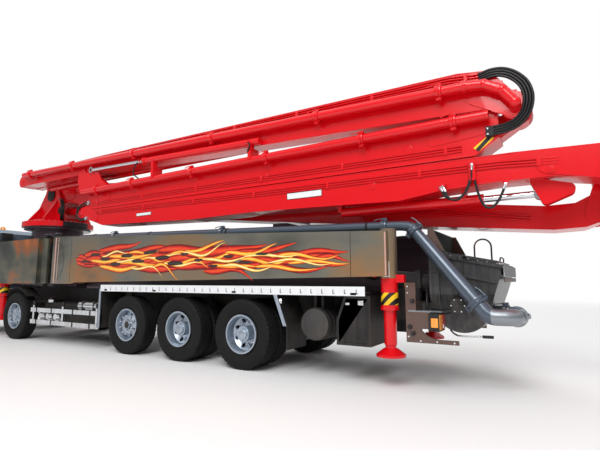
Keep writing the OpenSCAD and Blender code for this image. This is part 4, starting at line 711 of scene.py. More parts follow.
LIP_H, LIP_OUT = 0.014, 0.007
LIP_EDGES = {
    1: [[(-4.17, 2.310), (-2.8, 2.480), (0, 3.0), (4.0, 3.62), (6.6, 3.86)],
        [(6.6, 3.399), (5.5, 3.239), (3.5, 2.914), (2.0, 2.619), (-0.5, 2.364), (-2.5, 2.169), (-4.25, 2.009)]],
    2: [[(-3.9, 2.905), (4.70, 2.941)],
        [(4.2, 2.574), (1.5, 2.494), (0.1, 2.514), (-1.5, 2.479), (-2.45, 2.454), (-3.0, 2.534), (-3.7, 2.574)]],
    3: [[(-3.70, 3.466), (4.40, 3.420), (4.76, 3.300)], [(-3.44, 2.939), (4.76, 2.963)]],
    4: [[(-3.70, 3.98), (-3.3, 4.04), (4.2, 4.11), (7.25, 4.11)],
        [(-3.70, 3.49), (-1.5, 3.574), (4.5, 3.774), (7.2, 3.804)]],
    5: [[(-3.78, 3.97), (3.0, 4.04), (7.3, 4.06)], [(-3.78, 3.844), (3.0, 3.814), (7.2, 3.80)]],
}
SECTION_FACES = {1: (-0.245, 0.245), 2: (0.450, 0.880), 3: (0.450, 0.880), 4: (0.655, 0.945), 5: (0.410, 0.600)}
for section, edges in LIP_EDGES.items():
    right, left = SECTION_FACES[section]
    walls = ((left - 0.001, LIP_OUT), (right + 0.001, -LIP_OUT))
    on_section("edge_lips", section, [lip(edge, LIP_H, y, y + out) for edge in edges for y, out in walls])
BOOM_FOOT, REAR_PIN, FRONT_PIN, TOP_PIN = (7.30, 3.64), (-4.95, 2.64), (4.98, 2.945), (7.60, 3.92)
DOUBLERS = {
    1: [round_plate(REAR_PIN, (-4.72, 2.18), 0.20, 0.13, 0.244, 0.257),
        round_plate(REAR_PIN, (-4.72, 2.18), 0.20, 0.13, -0.257, -0.244),
        round_plate(BOOM_FOOT, (6.50, 3.60), 0.24, 0.15, 0.244, 0.257)],
    2: [round_plate(REAR_PIN, (-4.25, 2.72), 0.205, 0.13, 0.879, 0.893),
        round_plate(FRONT_PIN, (4.45, 2.75), 0.17, 0.10, 0.879, 0.893),
        boss(*REAR_PIN, 0.893, 0.12), boss(*FRONT_PIN, 0.893, 0.12), boss(-2.06, 2.70, 0.879, 0.06),
        boss(-4.28, 2.64, 0.893, 0.045)],
    3: [round_plate((4.52, 3.18), (4.05, 3.20), 0.11, 0.09, 0.879, 0.890),
        round_plate((-3.55, 3.30), (-2.95, 3.22), 0.12, 0.09, 0.879, 0.890),
        boss(-2.60, 3.14, 0.879, 0.07), boss(-0.2, 3.10, 0.879, 0.05)],
    4: [round_plate(TOP_PIN, (6.95, 3.95), 0.135, 0.12, 0.944, 0.956),
        round_plate((-3.95, 3.47), (-3.50, 3.70), 0.155, 0.13, 0.944, 0.956), boss(*TOP_PIN, 0.956, 0.08)],
}
for section, parts in DOUBLERS.items():
    on_section("doublers", section, parts)
piece("turret_bosses", mirrored([boss(*BOOM_FOOT, 0.35, 0.17), boss(6.85, 3.19, 0.329, 0.10)]), moulded_black, "turret")
RING_BOLTS, RING_RADIUS, RING_CENTRE = 40, 0.79, (7.45, 0, 2.889)
piece("ring_bolts", [studs(on_circle(RING_BOLTS, RING_RADIUS, RING_CENTRE, "z"), "z", 0.017, 0.022)], chrome, "turret")

# PIPE COUPLINGS
# Cast couplings that clamp the boom's pipes, each a ring of two ribs with ears, a lever and bolts; painted red. The
# last section's end carries six claws.

def coupling(x, y, z, slope, radius):
    """Two ribs and two ears round a pipe that runs along x and climbs by slope per metre."""
    ring = revolved([(radius + 0.002, -0.045), (radius + 0.020, -0.040), (radius + 0.024, -0.020),
                     (radius + 0.013, -0.006),
                     (radius + 0.013, 0.006), (radius + 0.024, 0.020), (radius + 0.020, 0.040),
                     (radius + 0.002, 0.045)], (0, 0, 0), "x", 32)
    parts = [ring] + [block(-0.034, 0.034, -0.018, 0.018, low, high) for low, high in
                      ((radius + 0.008, radius + 0.048), (-radius - 0.048, -radius - 0.008))]
    parts.append(tube([(0.0, 0.022, radius + 0.036), (0.09, 0.026, radius + 0.030), (0.15, 0.026, radius + 0.010)],
                      0.008, 8))
    parts.append(studs([(0.015, 0.018, radius + 0.028), (-0.015, 0.018, -radius - 0.028)], "y", 0.012, 0.012))
    points, faces = joined(parts)
    lean = np.hypot(1, slope)
    turned = points @ np.array([[1 / lean, 0, slope / lean], [0, 1, 0], [-slope / lean, 0, 1 / lean]])
    return turned + (x, y, z), faces


def couplings_along(a, b, y, shares, radius=0.066):
    """Couplings on a straight pipe from (x, z) a to b at the given shares of its length."""
    a, b = np.array(a), np.array(b)
    slope = (b - a)[1] / (b - a)[0]
    return [coupling(x, y, z, slope, radius) for x, z in a + (b - a) * np.array(shares)[:, None]]


BOOM_PIPES = {3: ((4.80, 3.33), (-3.65, 3.39), 0.990, 0.06, 0.95), 4: ((7.30, 4.03), (-3.40, 3.79), 1.055, 0.03, 0.97),
              2: ((-4.50, 2.76), (4.50, 2.80), 0.350, 0.05, 0.95), 1: ((6.50, 3.56), (-4.40, 2.19), -0.355, 0.04, 0.96)}
for section, (a, b, y, first, last) in BOOM_PIPES.items():
    on_section("couplings", section, couplings_along(a, b, y, (first, 0.2, 0.4, 0.6, 0.8, last)))
END_X, END_Y, END_Z = -4.0, 0.505, 3.735
CLAW_CIRCLE, CLAW_HALF = 0.088, 0.016
claw_at = on_circle(6, CLAW_CIRCLE, (END_X, END_Y, END_Z), "x")
piece("end_claws", [block(x + 0.045, x + 0.10, y - CLAW_HALF, y + CLAW_HALF, z - CLAW_HALF, z + CLAW_HALF)
                    for x, y, z in claw_at], boom_red, "boom_section_5", bevel=0.005)

# BLANK PLATES
# White type plates without any marking, with thin dark frames, riveted to the second section and to the rear left
# outrigger.
PLATE_SPOTS = {"boom_section_2": [(-0.62, -1.24, 2.645, 2.735, 0.884), (3.05, 2.62, 2.665, 2.715, 0.884)],
               "outrigger_rear_left": [(-2.385, -2.300, 1.40, 1.60, 1.168)]}
plate_white = painted("plate_white", WHITE, film=0.08)
for body, spots in PLATE_SPOTS.items():
    backs, fronts, rivets = [], [], []
    for x1, x0, z0, z1, y in spots:
        backs.append(block(x0 - 0.008, x1 + 0.008, y - 0.006, y, z0 - 0.008, z1 + 0.008))
        fronts.append(block(x0, x1, y - 0.004, y + 0.002, z0, z1))
        spots_at = [(x, y + 0.002, z) for x in (x0 + 0.012, x1 - 0.012) for z in (z0 + 0.012, z1 - 0.012)]
        rivets.append(studs(spots_at, "y", 0.004, 0.002, 10))
    piece(f"plate_backs_{body}", backs, moulded_black, body)
    piece(f"plate_fronts_{body}", fronts, plate_white, body)
    piece(f"plate_rivets_{body}", rivets, chrome, body)

# FLAMES
# An airbrushed band of flames along both long beams, in a layout of its own: tongues that start round at the
# front and thin out to the rear, laid over one another, each shaded from a dark outline to a hot core.
FLAME_Y = 1.2463
FLAME_STEP = 0.00005
FLAME_X = (4.50, -1.86)
FLAME_MIDDLE_Z = (1.80, 1.645)
GOLDEN = 0.6180339887


def flame_paint(name, stops):
    """Colour across a tongue by its v coordinate (0 and 1 at the edges), with a little cloudiness."""
    made, nodes, links, shader = new_material(name, stops[-1][1], 0.3, 0.1, 0.8)
    tree = made.node_tree
    across = node(tree, "SeparateXYZ", node(tree, "UVMap").outputs[0]).outputs["Y"]
    away = maths(tree, "ABSOLUTE", maths(tree, "SUBTRACT", across, 0.5))
    core = node(tree, "MapRange", away, 0.0, 0.5, 1.0, 0.0).outputs[0]
    clouds = node(tree, "TexNoise", node(tree, "TexCoord").outputs["Object"], Scale=9.0, Detail=2.0).outputs[0]
    shift = node(tree, "MapRange", clouds, 0.0, 1.0, -0.16, 0.16).outputs[0]
    links.new(ramp(tree, maths(tree, "ADD", core, shift), stops), shader.inputs["Base Color"])
    return made


OUTLINE = linear(70, 16, 14)
flame_red = flame_paint("flame_red", [(0.0, OUTLINE), (0.26, linear(128, 16, 20)), (0.5, linear(202, 32, 26)),
                                      (0.85, linear(232, 78, 40))])
flame_orange = flame_paint("flame_orange", [(0.0, OUTLINE), (0.22, linear(196, 44, 24)), (0.42, linear(240, 120, 34)),
                                            (0.72, linear(250, 178, 52)), (0.95, linear(254, 214, 96))])
flame_gold = flame_paint("flame_gold",
                         [(0.0, linear(150, 60, 20)), (0.2, linear(228, 142, 40)), (0.5, linear(250, 208, 84)),
                                        (0.85, linear(254, 240, 180))])
flame_dark = flame_paint("flame_dark",
                         [(0.0, linear(96, 20, 16)), (0.3, linear(44, 26, 26)), (0.8, linear(60, 56, 52))])


def tongue(x0, z0, length, width, wave, phase, hook, y, thin, steps=34, across=7):
    """Tongue (s, t): x = x0 - length s, z = z0 + wave sin(2 pi (s + phase)) (0.3 + 0.7 s) + hook s^3 + t half(s) with
    half(s) = 1.75 width s^0.45 (1 - s)^thin, t from -1 to 1; v = (t + 1) / 2 across it."""
    s = np.linspace(0, 1, steps)[:, None]
    t = np.linspace(-1, 1, across)[None, :]
    half = width * 1.75 * s ** 0.45 * (1 - s) ** thin
    x = x0 - length * s + 0 * t
    z = z0 + wave * np.sin(2 * np.pi * (s + phase)) * (0.3 + 0.7 * s) + hook * s ** 3 + half * t
    points = np.stack([x, np.full_like(z, y), z], -1).reshape(-1, 3)
    uv = np.stack(np.broadcast_arrays(s, (t + 1) / 2), -1).reshape(-1, 2)
    return points, grid_faces(steps, across), uv


def flame_piece(name, tongues, material, body):
    """Tongues as one thin skin with their (s, v) as its UV map."""
    made = piece(name, [part[:2] for part in tongues], material, body)
    uv = np.concatenate([part[2] for part in tongues])
    layer = made.data.uv_layers.new(name="UVMap")
    loops = np.empty(len(made.data.loops), int)
    made.data.loops.foreach_get("vertex_index", loops)
    layer.data.foreach_set("uv", uv[loops].ravel())
    return made


def flame_layer(count, seed, lengths, widths, spread, y0, reach=(0.0, 1.0), curl=1.0, thin=0.85):
    """Tongues scattered evenly by the golden ratio along the band; spread is their height about its middle, curl
    scales their waves and hooks, and thin is the power that narrows their tails."""
    k = np.arange(count)
    along = reach[0] + (reach[1] - reach[0]) * ((k + 0.5) / count)
    up = ((k * GOLDEN + seed) % 1.0) * 2 - 1
    size = ((k * GOLDEN * 1.7 + 2 * seed) % 1.0)
    x0 = FLAME_X[0] + (FLAME_X[1] + 0.55 - FLAME_X[0]) * along
    middle = np.interp(along, (0, 1), FLAME_MIDDLE_Z)
    taper = np.interp(along, (0.0, 0.12, 0.7, 1.0), (0.65, 1.0, 0.95, 0.5))
    length = np.minimum(lengths[0] + (lengths[1] - lengths[0]) * size, x0 - FLAME_X[1])
    width = (widths[0] + (widths[1] - widths[0]) * size) * taper
    z0 = middle + spread * up * taper
    wave = curl * (0.018 + 0.050 * ((k * GOLDEN * 2.3 + seed) % 1.0))
    hook = curl * 0.20 * up * ((k * GOLDEN * 3.1 + seed) % 1.0)
    phase = (k * GOLDEN * 4.7 + seed) % 1.0
    return [tongue(x0[i], z0[i], length[i], width[i], wave[i], phase[i], hook[i], y0 + FLAME_STEP * i, thin)
            for i in range(count)]


LAYERS = [("flames_red", flame_red, flame_layer(26, 0.13, (1.0, 1.8), (0.075, 0.125), 0.185, FLAME_Y)
           + flame_layer(9, 0.55, (0.45, 0.95), (0.10, 0.15), 0.15, FLAME_Y + 0.0011, (0.0, 0.07), 0.6)),
          ("flames_orange", flame_orange,
           flame_layer(17, 0.41, (0.65, 1.5), (0.045, 0.085), 0.17, FLAME_Y + 0.0016, (0.07, 0.95), 1.3)),
          ("flames_gold", flame_gold,
           flame_layer(10, 0.77, (0.5, 1.1), (0.022, 0.040), 0.15, FLAME_Y + 0.0028, (0.12, 0.9), 1.4)),
          ("flames_dark", flame_dark,
           flame_layer(15, 0.29, (0.18, 0.40), (0.026, 0.044), 0.13, FLAME_Y + 0.0035, (0.01, 0.85), 0.15, 0.5))]
for side, sign in zip(SIDES, (1, -1)):
    for name, material, tongues in LAYERS:
        placed = tongues if sign > 0 else [(*flipped(part[:2]), part[2]) for part in tongues]
        flame_piece(f"{name}_{side}", placed, material, f"outrigger_rear_{side}")

# BEAM FITTINGS
# On the long rear beams the panel seams, the hinge's edge posts, pale as painted highlights, and the round reveal;
# on each outrigger the jack's hazard band, collar, lock knob with its bracket, marker lamp and foot bolts. Pressed
# steel and moulded plastic, welded or screwed on.
# Pale warm colour of the beam posts: painted highlights on the hinge cylinder and the beams' end edges.
painted_edge_highlight = painted("painted_edge_highlight", Finish(linear(206, 160, 148), 0.35, 0.3, 0.3), film=0.1)
HAZARD_YELLOW, HAZARD_BLACK = linear(240, 190, 30), linear(24, 24, 26)


def hazard_stripes(tree):
    """Yellow and black stripes that lean by 45 degrees, seven of each to the metre along x or z."""
    spot = node(tree, "SeparateXYZ", node(tree, "TexCoord").outputs["Object"]).outputs
    along = maths(tree, "MULTIPLY", maths(tree, "ADD", spot["X"], spot["Z"]), 7.0)
    dark = maths(tree, "GREATER_THAN", maths(tree, "FRACT", along), 0.5)
    return between(tree, dark, HAZARD_YELLOW, HAZARD_BLACK, colours=True)


hazard = painted("hazard", Finish(HAZARD_YELLOW, 0.45, 0.0, 0.2), film=0.1, pattern=hazard_stripes)
lamp_amber = painted("lamp_amber", Finish(linear(240, 150, 40), 0.12, 0.0, 1.0), film=0.05)
lamp_red = painted("lamp_red", Finish(linear(196, 22, 22), 0.12, 0.0, 1.0), film=0.05)
lamp_clear = painted("lamp_clear", Finish(linear(232, 236, 240), 0.1, 0.2, 1.0), film=0.05)
hose_black = painted("hose_black", Finish(linear(22, 22, 24), 0.42, 0.0, 0.1), film=0.1)

JACK_TUBE_R = 0.110
seams = [block(-1.876, -1.868, 1.2455, 1.2475, 1.405, 2.03), block(4.66, 4.668, 1.2455, 1.2475, 1.32, 2.265)]
pair("beam_seams", seams, moulded_black, "outrigger_rear")
# Pale posts at the hinge and at each beam's rear end: thin strips that carry painted highlights.
posts = [block(5.245, 5.290, 1.238, 1.2485, 1.30, 2.30), block(5.150, 5.172, 1.238, 1.2475, 1.30, 2.30),
         block(-2.372, -2.352, 1.150, 1.2485, 1.42, 1.985)]
pair("beam_posts", posts, painted_edge_highlight, "outrigger_rear", bevel=0.004)
arc = np.linspace(-1.15, 1.15, 22)
reveal = np.stack([5.17 - 0.42 * (np.cos(arc) - 0.41), np.full(22, 1.2455), 1.78 + 0.46 * np.sin(arc)], 1)
pair("beam_reveal", [tube(reveal, 0.004, 6)], moulded_black, "outrigger_rear")
for end, x in JACKS.items():
    body = f"outrigger_{end}"
    band_r, rim_r = JACK_TUBE_R + 0.0022, JACK_TUBE_R + 0.0005
    band = revolved([(rim_r, 1.04), (band_r, 1.043), (band_r, 1.197), (rim_r, 1.20)], (x, JACK_Y, 0), "z", 48)
    pair(f"jack_band_{end}", [band], hazard, body)
    collar = revolved([(0.0835, 0.972), (0.118, 0.974), (0.120, 0.985), (0.120, 1.015), (0.110, 1.022)],
                      (x, JACK_Y, 0), "z", 48)
    pair(f"jack_collar_{end}", [collar], boom_red, body)
    knob = revolved([(0.0, 0.10), (0.030, 0.098), (0.038, 0.085), (0.034, 0.070), (0.018, 0.064), (0.018, 0.0)],
                    (x + 0.10, JACK_Y + 0.05, 1.43), "x", 24)
    bracket = [block(x - 0.21, x - 0.09, JACK_Y + 0.02, JACK_Y + 0.035, 1.33, 1.43),
               block(x - 0.21, x - 0.195, JACK_Y - 0.05, JACK_Y + 0.03, 1.33, 1.43)]
    pair(f"jack_lock_{end}", [knob] + bracket, boom_red, body, bevel=0.003)
    pair(f"jack_marker_{end}", [block(x - 0.255, x - 0.213, JACK_Y - 0.03, JACK_Y + 0.03, 1.27, 1.33)], lamp_amber,
         body, bevel=0.006)
    foot_bolts = studs(on_circle(4, 0.15, (x, JACK_Y, 0.413), "z", 0.78), "z", 0.012, 0.016)
    pair(f"foot_bolts_{end}", [foot_bolts], chrome, f"jack_{end}")

# SIDE RAIL AND UNDERRUN
# Short grey tie-down marks on the white rail, black straps round the silver bars, a chrome working lamp and post
# covers; pressed and plated steel, screwed on.
RAIL_X = np.linspace(-1.95, 3.42, 32)
marks = [block(x - 0.006, x + 0.006, 1.2475, 1.2492, 1.178, 1.236) for x in RAIL_X]
marks += [block(x - 0.02, x + 0.006, 1.2475, 1.2492, 1.176, 1.188) for x in RAIL_X]
pair("rail_marks", marks, pipe_grey)
straps = [block(x - 0.022, x + 0.022, 1.187, 1.2285, z - 0.004, z + 0.094)
          for x in (3.90, 4.50, 5.30, 5.90) for z in (0.40, 0.66)]
straps += [block(3.80 + d, 3.83 + d, 0.938, 1.142, 0.733, 0.937) for d in (0.12, 0.50)]
pair("bar_straps", straps, moulded_black, bevel=0.003)
lamp = revolved([(0.0, 0.055), (0.030, 0.050), (0.046, 0.035), (0.050, 0.0), (0.0, 0.0)], (-0.70, 1.18, 1.05), "y", 28)
pair("work_lamp", [lamp], chrome)
post = [block(3.555, 3.61, 1.225, 1.242, 0.43, 1.195),
        slab([(-0.665, 1.151), (-0.605, 1.151), (-0.785, 0.70), (-0.845, 0.70)], 1.238, 1.244)]
pair("post_covers", post, alloy, bevel=0.003)

# BOOM HOSES
# Black rubber hoses: a ribbon of four from the pipes of section 4 round the rear upper knuckle to a moulded block
# on section 3, three loops with crimped steel ends under section 2, a pair at the front knuckle, two on the fold
# cylinder and three at the turret's foot.


def hose(points, radius, per=8, sides=12):
    """A hose of round section along a smooth curve through the points."""
    return tube(smooth_path(points, per), radius, sides)


def hoses(name, paths, radius, body="chassis", **options):
    """A piece of black hoses along several paths."""
    return piece(name, [hose(path, radius) for path in paths], hose_black, body, **options)


def crimps(points, radius, length=0.07):
    """Steel sleeves over both ends of such a hose."""
    p = np.array(points, float)
    made = []
    for end, inner in ((p[0], p[1]), (p[-1], p[-2])):
        way = (inner - end) / np.linalg.norm(inner - end)
        made.append(tube([end - 0.01 * way, end + 0.5 * length * way, end + length * way], radius * 1.45, 12))
        made.append(tube([end - 0.02 * way, end + 0.012 * way], radius * 1.75, 6))
    return made


BUNDLE = np.array([(-3.56, 0.965, 3.905), (-3.70, 0.972, 3.930), (-3.83, 0.974, 3.912), (-3.95, 0.974, 3.840),
                   (-4.05, 0.974, 3.720), (-4.095, 0.974, 3.580), (-4.090, 0.972, 3.450), (-4.045, 0.962, 3.335),
                   (-3.955, 0.945, 3.250), (-3.82, 0.920, 3.212), (-3.67, 0.908, 3.205)])
bundle_way = np.gradient(BUNDLE, axis=0)[:, (2, 1, 0)] * (1, 0, -1)
bundle_way /= np.linalg.norm(bundle_way, axis=1, keepdims=True)
hoses("knuckle_hoses", [BUNDLE + d * bundle_way for d in (-0.048, -0.016, 0.016, 0.048)], 0.0165,
      bends=("boom_section_3", "boom_section_4", (ahead(-3.96), 0.9, 3.27), (ahead(-4.08), 0.9, 3.62)))
piece("hose_block", [block(-3.695, -3.600, 0.875, 0.935, 3.135, 3.265)], moulded_black, "boom_section_3", bevel=0.008)
piece("block_screws", [studs([(-3.625, 0.934, z) for z in (3.165, 3.235)], "y", 0.013, 0.012)], chrome,
      "boom_section_3")
piece("fold_marks", [slab([(-3.690, 3.119), (-3.500, 2.970), (-3.440, 3.030), (-3.625, 3.165)], 0.878, 0.883)], hazard,
      "boom_section_3", bevel=0.001)
loops = [[(-3.02, 0.925, 2.56), (-3.08, 0.935, 2.43), (-3.19, 0.94, 2.375), (-3.30, 0.935, 2.43), (-3.38, 0.925, 2.60),
          (-3.40, 0.915, 2.82)],
         [(-3.42, 0.915, 2.82), (-3.46, 0.93, 2.50), (-3.53, 0.94, 2.28), (-3.62, 0.94, 2.24), (-3.71, 0.935, 2.33),
          (-3.79, 0.915, 2.52)],
         [(-3.06, 0.955, 2.55), (-3.13, 0.965, 2.40), (-3.24, 0.965, 2.37), (-3.34, 0.955, 2.47), (-3.40, 0.94, 2.62),
          (-3.42, 0.93, 2.80)]]
hoses("loop_hoses", loops, 0.015, "boom_section_2")
piece("loop_crimps", [part for path in loops for part in crimps(path, 0.015)], chrome, "boom_section_2")
piece("loop_brackets", [block(-3.455, -3.385, 0.878, 0.945, 2.60, 2.86), block(-3.40, -3.385, 0.90, 0.96, 2.60, 2.86),
                        block(-3.83, -3.75, 0.878, 0.945, 2.53, 2.575), block(-3.09, -2.99, 0.878, 0.975, 2.56, 2.60)],
      boom_red, "boom_section_2", bevel=0.003)
front_loops = [[(4.66, 0.897, 3.07 + d), (4.80, 0.905, 3.06 + d), (4.96, 0.93, 3.01 + d), (5.07, 0.935, 2.90 + d),
                (5.04, 0.93, 2.79), (4.90, 0.918, 2.745 - 0.7 * d), (4.70, 0.908, 2.765 - 0.7 * d)]
               for d in (0.0, 0.05)]
hoses("front_knuckle_hoses", front_loops, 0.0155,
      bends=("boom_section_2", "boom_section_3", (ahead(4.98), 0.9, 2.80), (ahead(4.98), 0.9, 3.02)))
piece("front_crimps_3", [part for path in front_loops for part in crimps(path, 0.0155)[:2]], chrome, "boom_section_3")
piece("front_crimps_2", [part for path in front_loops for part in crimps(path, 0.0155)[2:]], chrome, "boom_section_2")
hoses("cylinder_hoses", [[(2.95, 0.96, 3.42), (2.98, 1.06, 3.50), (2.93, 1.085, 3.63), (2.86, 1.07, 3.72)],
                         [(0.12, 0.93, 3.47), (0.06, 1.06, 3.50), (0.00, 1.09, 3.58), (0.05, 1.075, 3.66)]], 0.013,
      "boom_section_3")
piece("cylinder_ports", [studs([(2.80, 1.07, 3.745), (0.05, 1.072, 3.67)], "y", 0.022, 0.024),
                         revolved([(0.061, -0.035), (0.074, -0.03), (0.074, 0.03), (0.061, 0.035)],
                                  (2.70, 1.015, 3.743), "x", 32)],
      boom_red, "boom_section_3")
turret_hoses = [[(6.72, 0.30 + d, 2.92), (6.60, 0.38 + d, 3.00), (6.55, 0.40 + d, 3.20), (6.66, 0.37 + d, 3.42),
                 (6.86, 0.352, 3.50)] for d in (0.0, 0.035, 0.07)]
hoses("turret_hoses", turret_hoses, 0.016, "turret")

# TAIL
# Lamp clusters with amber, red and clear lenses in their frames, knobs, bolts and the drain lever; moulded lenses
# on pressed steel.
pair("lens_red", [block(-3.006, -2.988, 0.93, 1.055, 0.76, 0.94)], lamp_red, bevel=0.006)
pair("lens_amber", [block(-3.006, -2.988, 1.060, 1.185, 0.76, 0.94), block(-2.985, -2.90, 1.190, 1.200, 0.79, 0.90)],
     lamp_amber, bevel=0.006)
pair("lens_clear", [block(-3.010, -3.002, 0.985, 1.035, 0.775, 0.82)], lamp_clear, bevel=0.003)
pair("lamp_frames", [block(-3.000, -2.984, *sides) for sides in
                     ((0.918, 0.930, 0.745, 0.955), (1.186, 1.198, 0.745, 0.955), (0.918, 1.198, 0.742, 0.757),
                      (0.918, 1.198, 0.944, 0.958))], moulded_black, bevel=0.003)
pair("tail_knobs", [revolved([(0.0, 0.045), (0.022, 0.042), (0.028, 0.025), (0.014, 0.015), (0.014, 0.0)],
                             (x, 1.12, z), "y", 20) for x, z in ((-2.66, 1.10), (-2.62, 0.78), (-2.66, 0.70))],
     moulded_black)
bolt_at = [(-2.60, 1.119, z) for z in (1.28, 1.20, 0.66)] + [(x, 1.119, 0.615) for x in (-2.75, -2.95, -3.15)]
pair("tail_bolts", [studs(bolt_at, "y", 0.012, 0.012)], chrome)
drain = hose([(-3.02, 0.70, 0.72), (-3.10, 0.84, 0.69), (-3.20, 0.93, 0.68), (-3.46, 0.95, 0.69)], 0.011)
piece("drain_lever", [drain], chrome)
piece("drain_grip", [tube([(-3.44, 0.95, 0.69), (-3.50, 0.95, 0.691), (-3.56, 0.95, 0.692)], 0.018)], moulded_black)

# HOPPER FITTINGS
# A bright wear lip on the rear rim, stiffening ribs, agitator bearings and their hydraulic motor, a rubber splash
# flap, the grate's handle, hoses and valves; bare and painted steel.
RIM_X, RIM_TOP = -2.79, 1.73
AGITATOR_X, AGITATOR_Z = -3.15, 1.04
RIM_SLOPE = (1.73 - 1.55) / 0.87


def rim_z(x):
    """Height of the hopper's sloping rim at x."""
    return RIM_TOP + (x - RIM_X) * RIM_SLOPE


wear_lip = [block(-3.700, -3.690, -0.78, 0.78, 1.40, 1.545),
            lip([(-3.70, 1.556), (-3.62, rim_z(-3.62) + 0.006)], 0.004, -0.80, 0.80)]
piece("wear_lip", wear_lip, chrome, bevel=0.002)
piece("rear_strip", [block(-3.700, -3.688, -0.74, 0.74, 1.335, 1.392)], tail_paint, bevel=0.003)
side_ribs = [block(x - 0.006, x + 0.006, 0.768, 0.797, 1.05, rim_z(x) - 0.042) for x in (-3.52, -3.22, -2.92)]
side_ribs += [slab([(-3.60, 1.32), (-3.60, 1.345), (-2.80, 1.50), (-2.80, 1.475)], 0.768, 0.792)]
piece("hopper_ribs", mirrored(side_ribs), hopper_paint, bevel=0.002)
bearing = [revolved([(0.0, 0.045), (0.030, 0.045), (0.034, 0.035), (0.085, 0.030), (0.10, 0.018), (0.10, -0.01)],
                    (AGITATOR_X, 0.802, AGITATOR_Z), "y", 36)]
piece("agitator_bearings", mirrored(bearing), cast_grey)
bearing_bolts = studs(on_circle(6, 0.082, (AGITATOR_X, 0.828, AGITATOR_Z), "y"), "y", 0.010, 0.012)
piece("bearing_bolts", mirrored([bearing_bolts]), chrome)
motor = [revolved([(0.0, 0.20), (0.055, 0.20), (0.062, 0.19), (0.062, 0.09), (0.085, 0.085), (0.085, 0.03),
                   (0.0, 0.03)], (AGITATOR_X, 0.80, AGITATOR_Z), "y", 32)]
piece("agitator_motor", [flipped(part) for part in motor], moulded_black)
piece("rim_bolts", [studs([(x, s * 0.786, rim_z(x) - 0.001) for x in np.linspace(-3.62, -2.86, 8) for s in (-1, 1)],
                          "z", 0.010, 0.010)], chrome)
piece("splash_flap", [block(-2.808, -2.800, -0.74, 0.74, 1.80, 2.05)], rubber, bevel=0.002)
piece("guard_bolts", [studs([(-2.789, y, 2.03) for y in np.linspace(-0.72, 0.72, 9)], "x", 0.010, 0.010)], chrome)
piece("grate_handle", [hose([(-3.595, -0.20, 1.595), (-3.60, -0.19, 1.655), (-3.60, 0.0, 1.668), (-3.60, 0.19, 1.655),
             (-3.595, 0.20, 1.595)], 0.010)],
      hopper_paint, "hopper_grate")
tail_lines = [[(-2.66, 0.50 + d, 1.30), (-2.72, 0.60 + d, 1.20), (-2.75, 0.70 + d, 1.02), (-2.90, 0.81, 0.98 - d),
               (-3.06, 0.83, 1.00 - d)] for d in (0.0, 0.05)]
hoses("hopper_hoses", tail_lines, 0.013)
valve = [block(-2.775, -2.655, 0.30, 0.42, 0.90, 1.02), block(-2.775, -2.655, -0.42, -0.30, 0.90, 1.02)]
piece("tail_valves", valve, alloy, bevel=0.006)

# DELIVERY LINE
# The whole line as one smooth steel pipe that replaces its CAD node: bend behind the hopper, tapered rise and deck
# run, with cast couplings and their levers, held on the deck by saddles.
LINE_Y = 0.850
PIPE_R = 0.066
HEAD, FOOT = np.array([-2.640, 0.865, 2.025]), np.array([-3.400, 1.000, 1.090])
RISE = (HEAD - FOOT) / np.linalg.norm(HEAD - FOOT)
DECK_START = HEAD + 0.09 * RISE
deck_end = np.array([4.95, LINE_Y, 2.320])
deck_way = (deck_end - DECK_START) / np.linalg.norm(deck_end - DECK_START)


def filleted(points, bend, per=9):
    """Straight runs between points with an arc c - r n cos s + r w sin s, 0 <= s <= turn, at each inner one."""
    p = np.array(points, float)
    way = np.diff(p, axis=0)
    way /= np.linalg.norm(way, axis=1, keepdims=True)
    turn = np.arccos((way[:-1] * way[1:]).sum(axis=1))[:, None]
    normal = (way[1:] - way[:-1] * np.cos(turn)) / np.sin(turn)
    centre = p[1:-1] - bend * np.tan(turn / 2) * way[:-1] + bend * normal
    s = (np.linspace(0, 1, per)[None] * turn)[:, :, None]
    arcs = centre[:, None] - bend * normal[:, None] * np.cos(s) + bend * way[:-1, None] * np.sin(s)
    return np.concatenate([p[:1], arcs.reshape(-1, 3), p[-1:]])


lower = filleted([FOOT, FOOT - 0.205 * RISE, (-3.805, 0.950, 0.925), (-3.805, 0.440, 0.930), (-3.6203, 0.440, 0.930)],
                 0.15)
deck_bend = smooth_path([HEAD + 0.01 * RISE, HEAD + 0.05 * RISE, DECK_START + 0.05 * deck_way + (0, 0, -0.008),
                         DECK_START + 0.14 * deck_way], 6)
upper = np.concatenate([np.linspace(FOOT, HEAD, 6), deck_bend,
                        np.linspace(DECK_START + 0.2 * deck_way, deck_end, 10)])
radii = np.concatenate([np.linspace(0.097, 0.074, 6), np.linspace(0.072, PIPE_R, 19), np.full(len(upper) - 25, PIPE_R)])
delivery_skin = piece("delivery_pipe", [tube(lower, 0.097, 40), tube(upper, radii, 40)], pipe_grey, crease=50)
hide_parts("delivery_line")


def ring_coupling(at, way, radius):
    """A two-rib coupling round a pipe at a point, square to the given direction, with its lever."""
    way = np.array(way, float) / np.linalg.norm(way)
    up = np.cross(way, (0, 1, 0))
    up /= np.linalg.norm(up)
    across = np.cross(up, way)
    points, faces = coupling(0, 0, 0, 0, radius)
    return points @ np.stack([way, across, up]) + at, faces


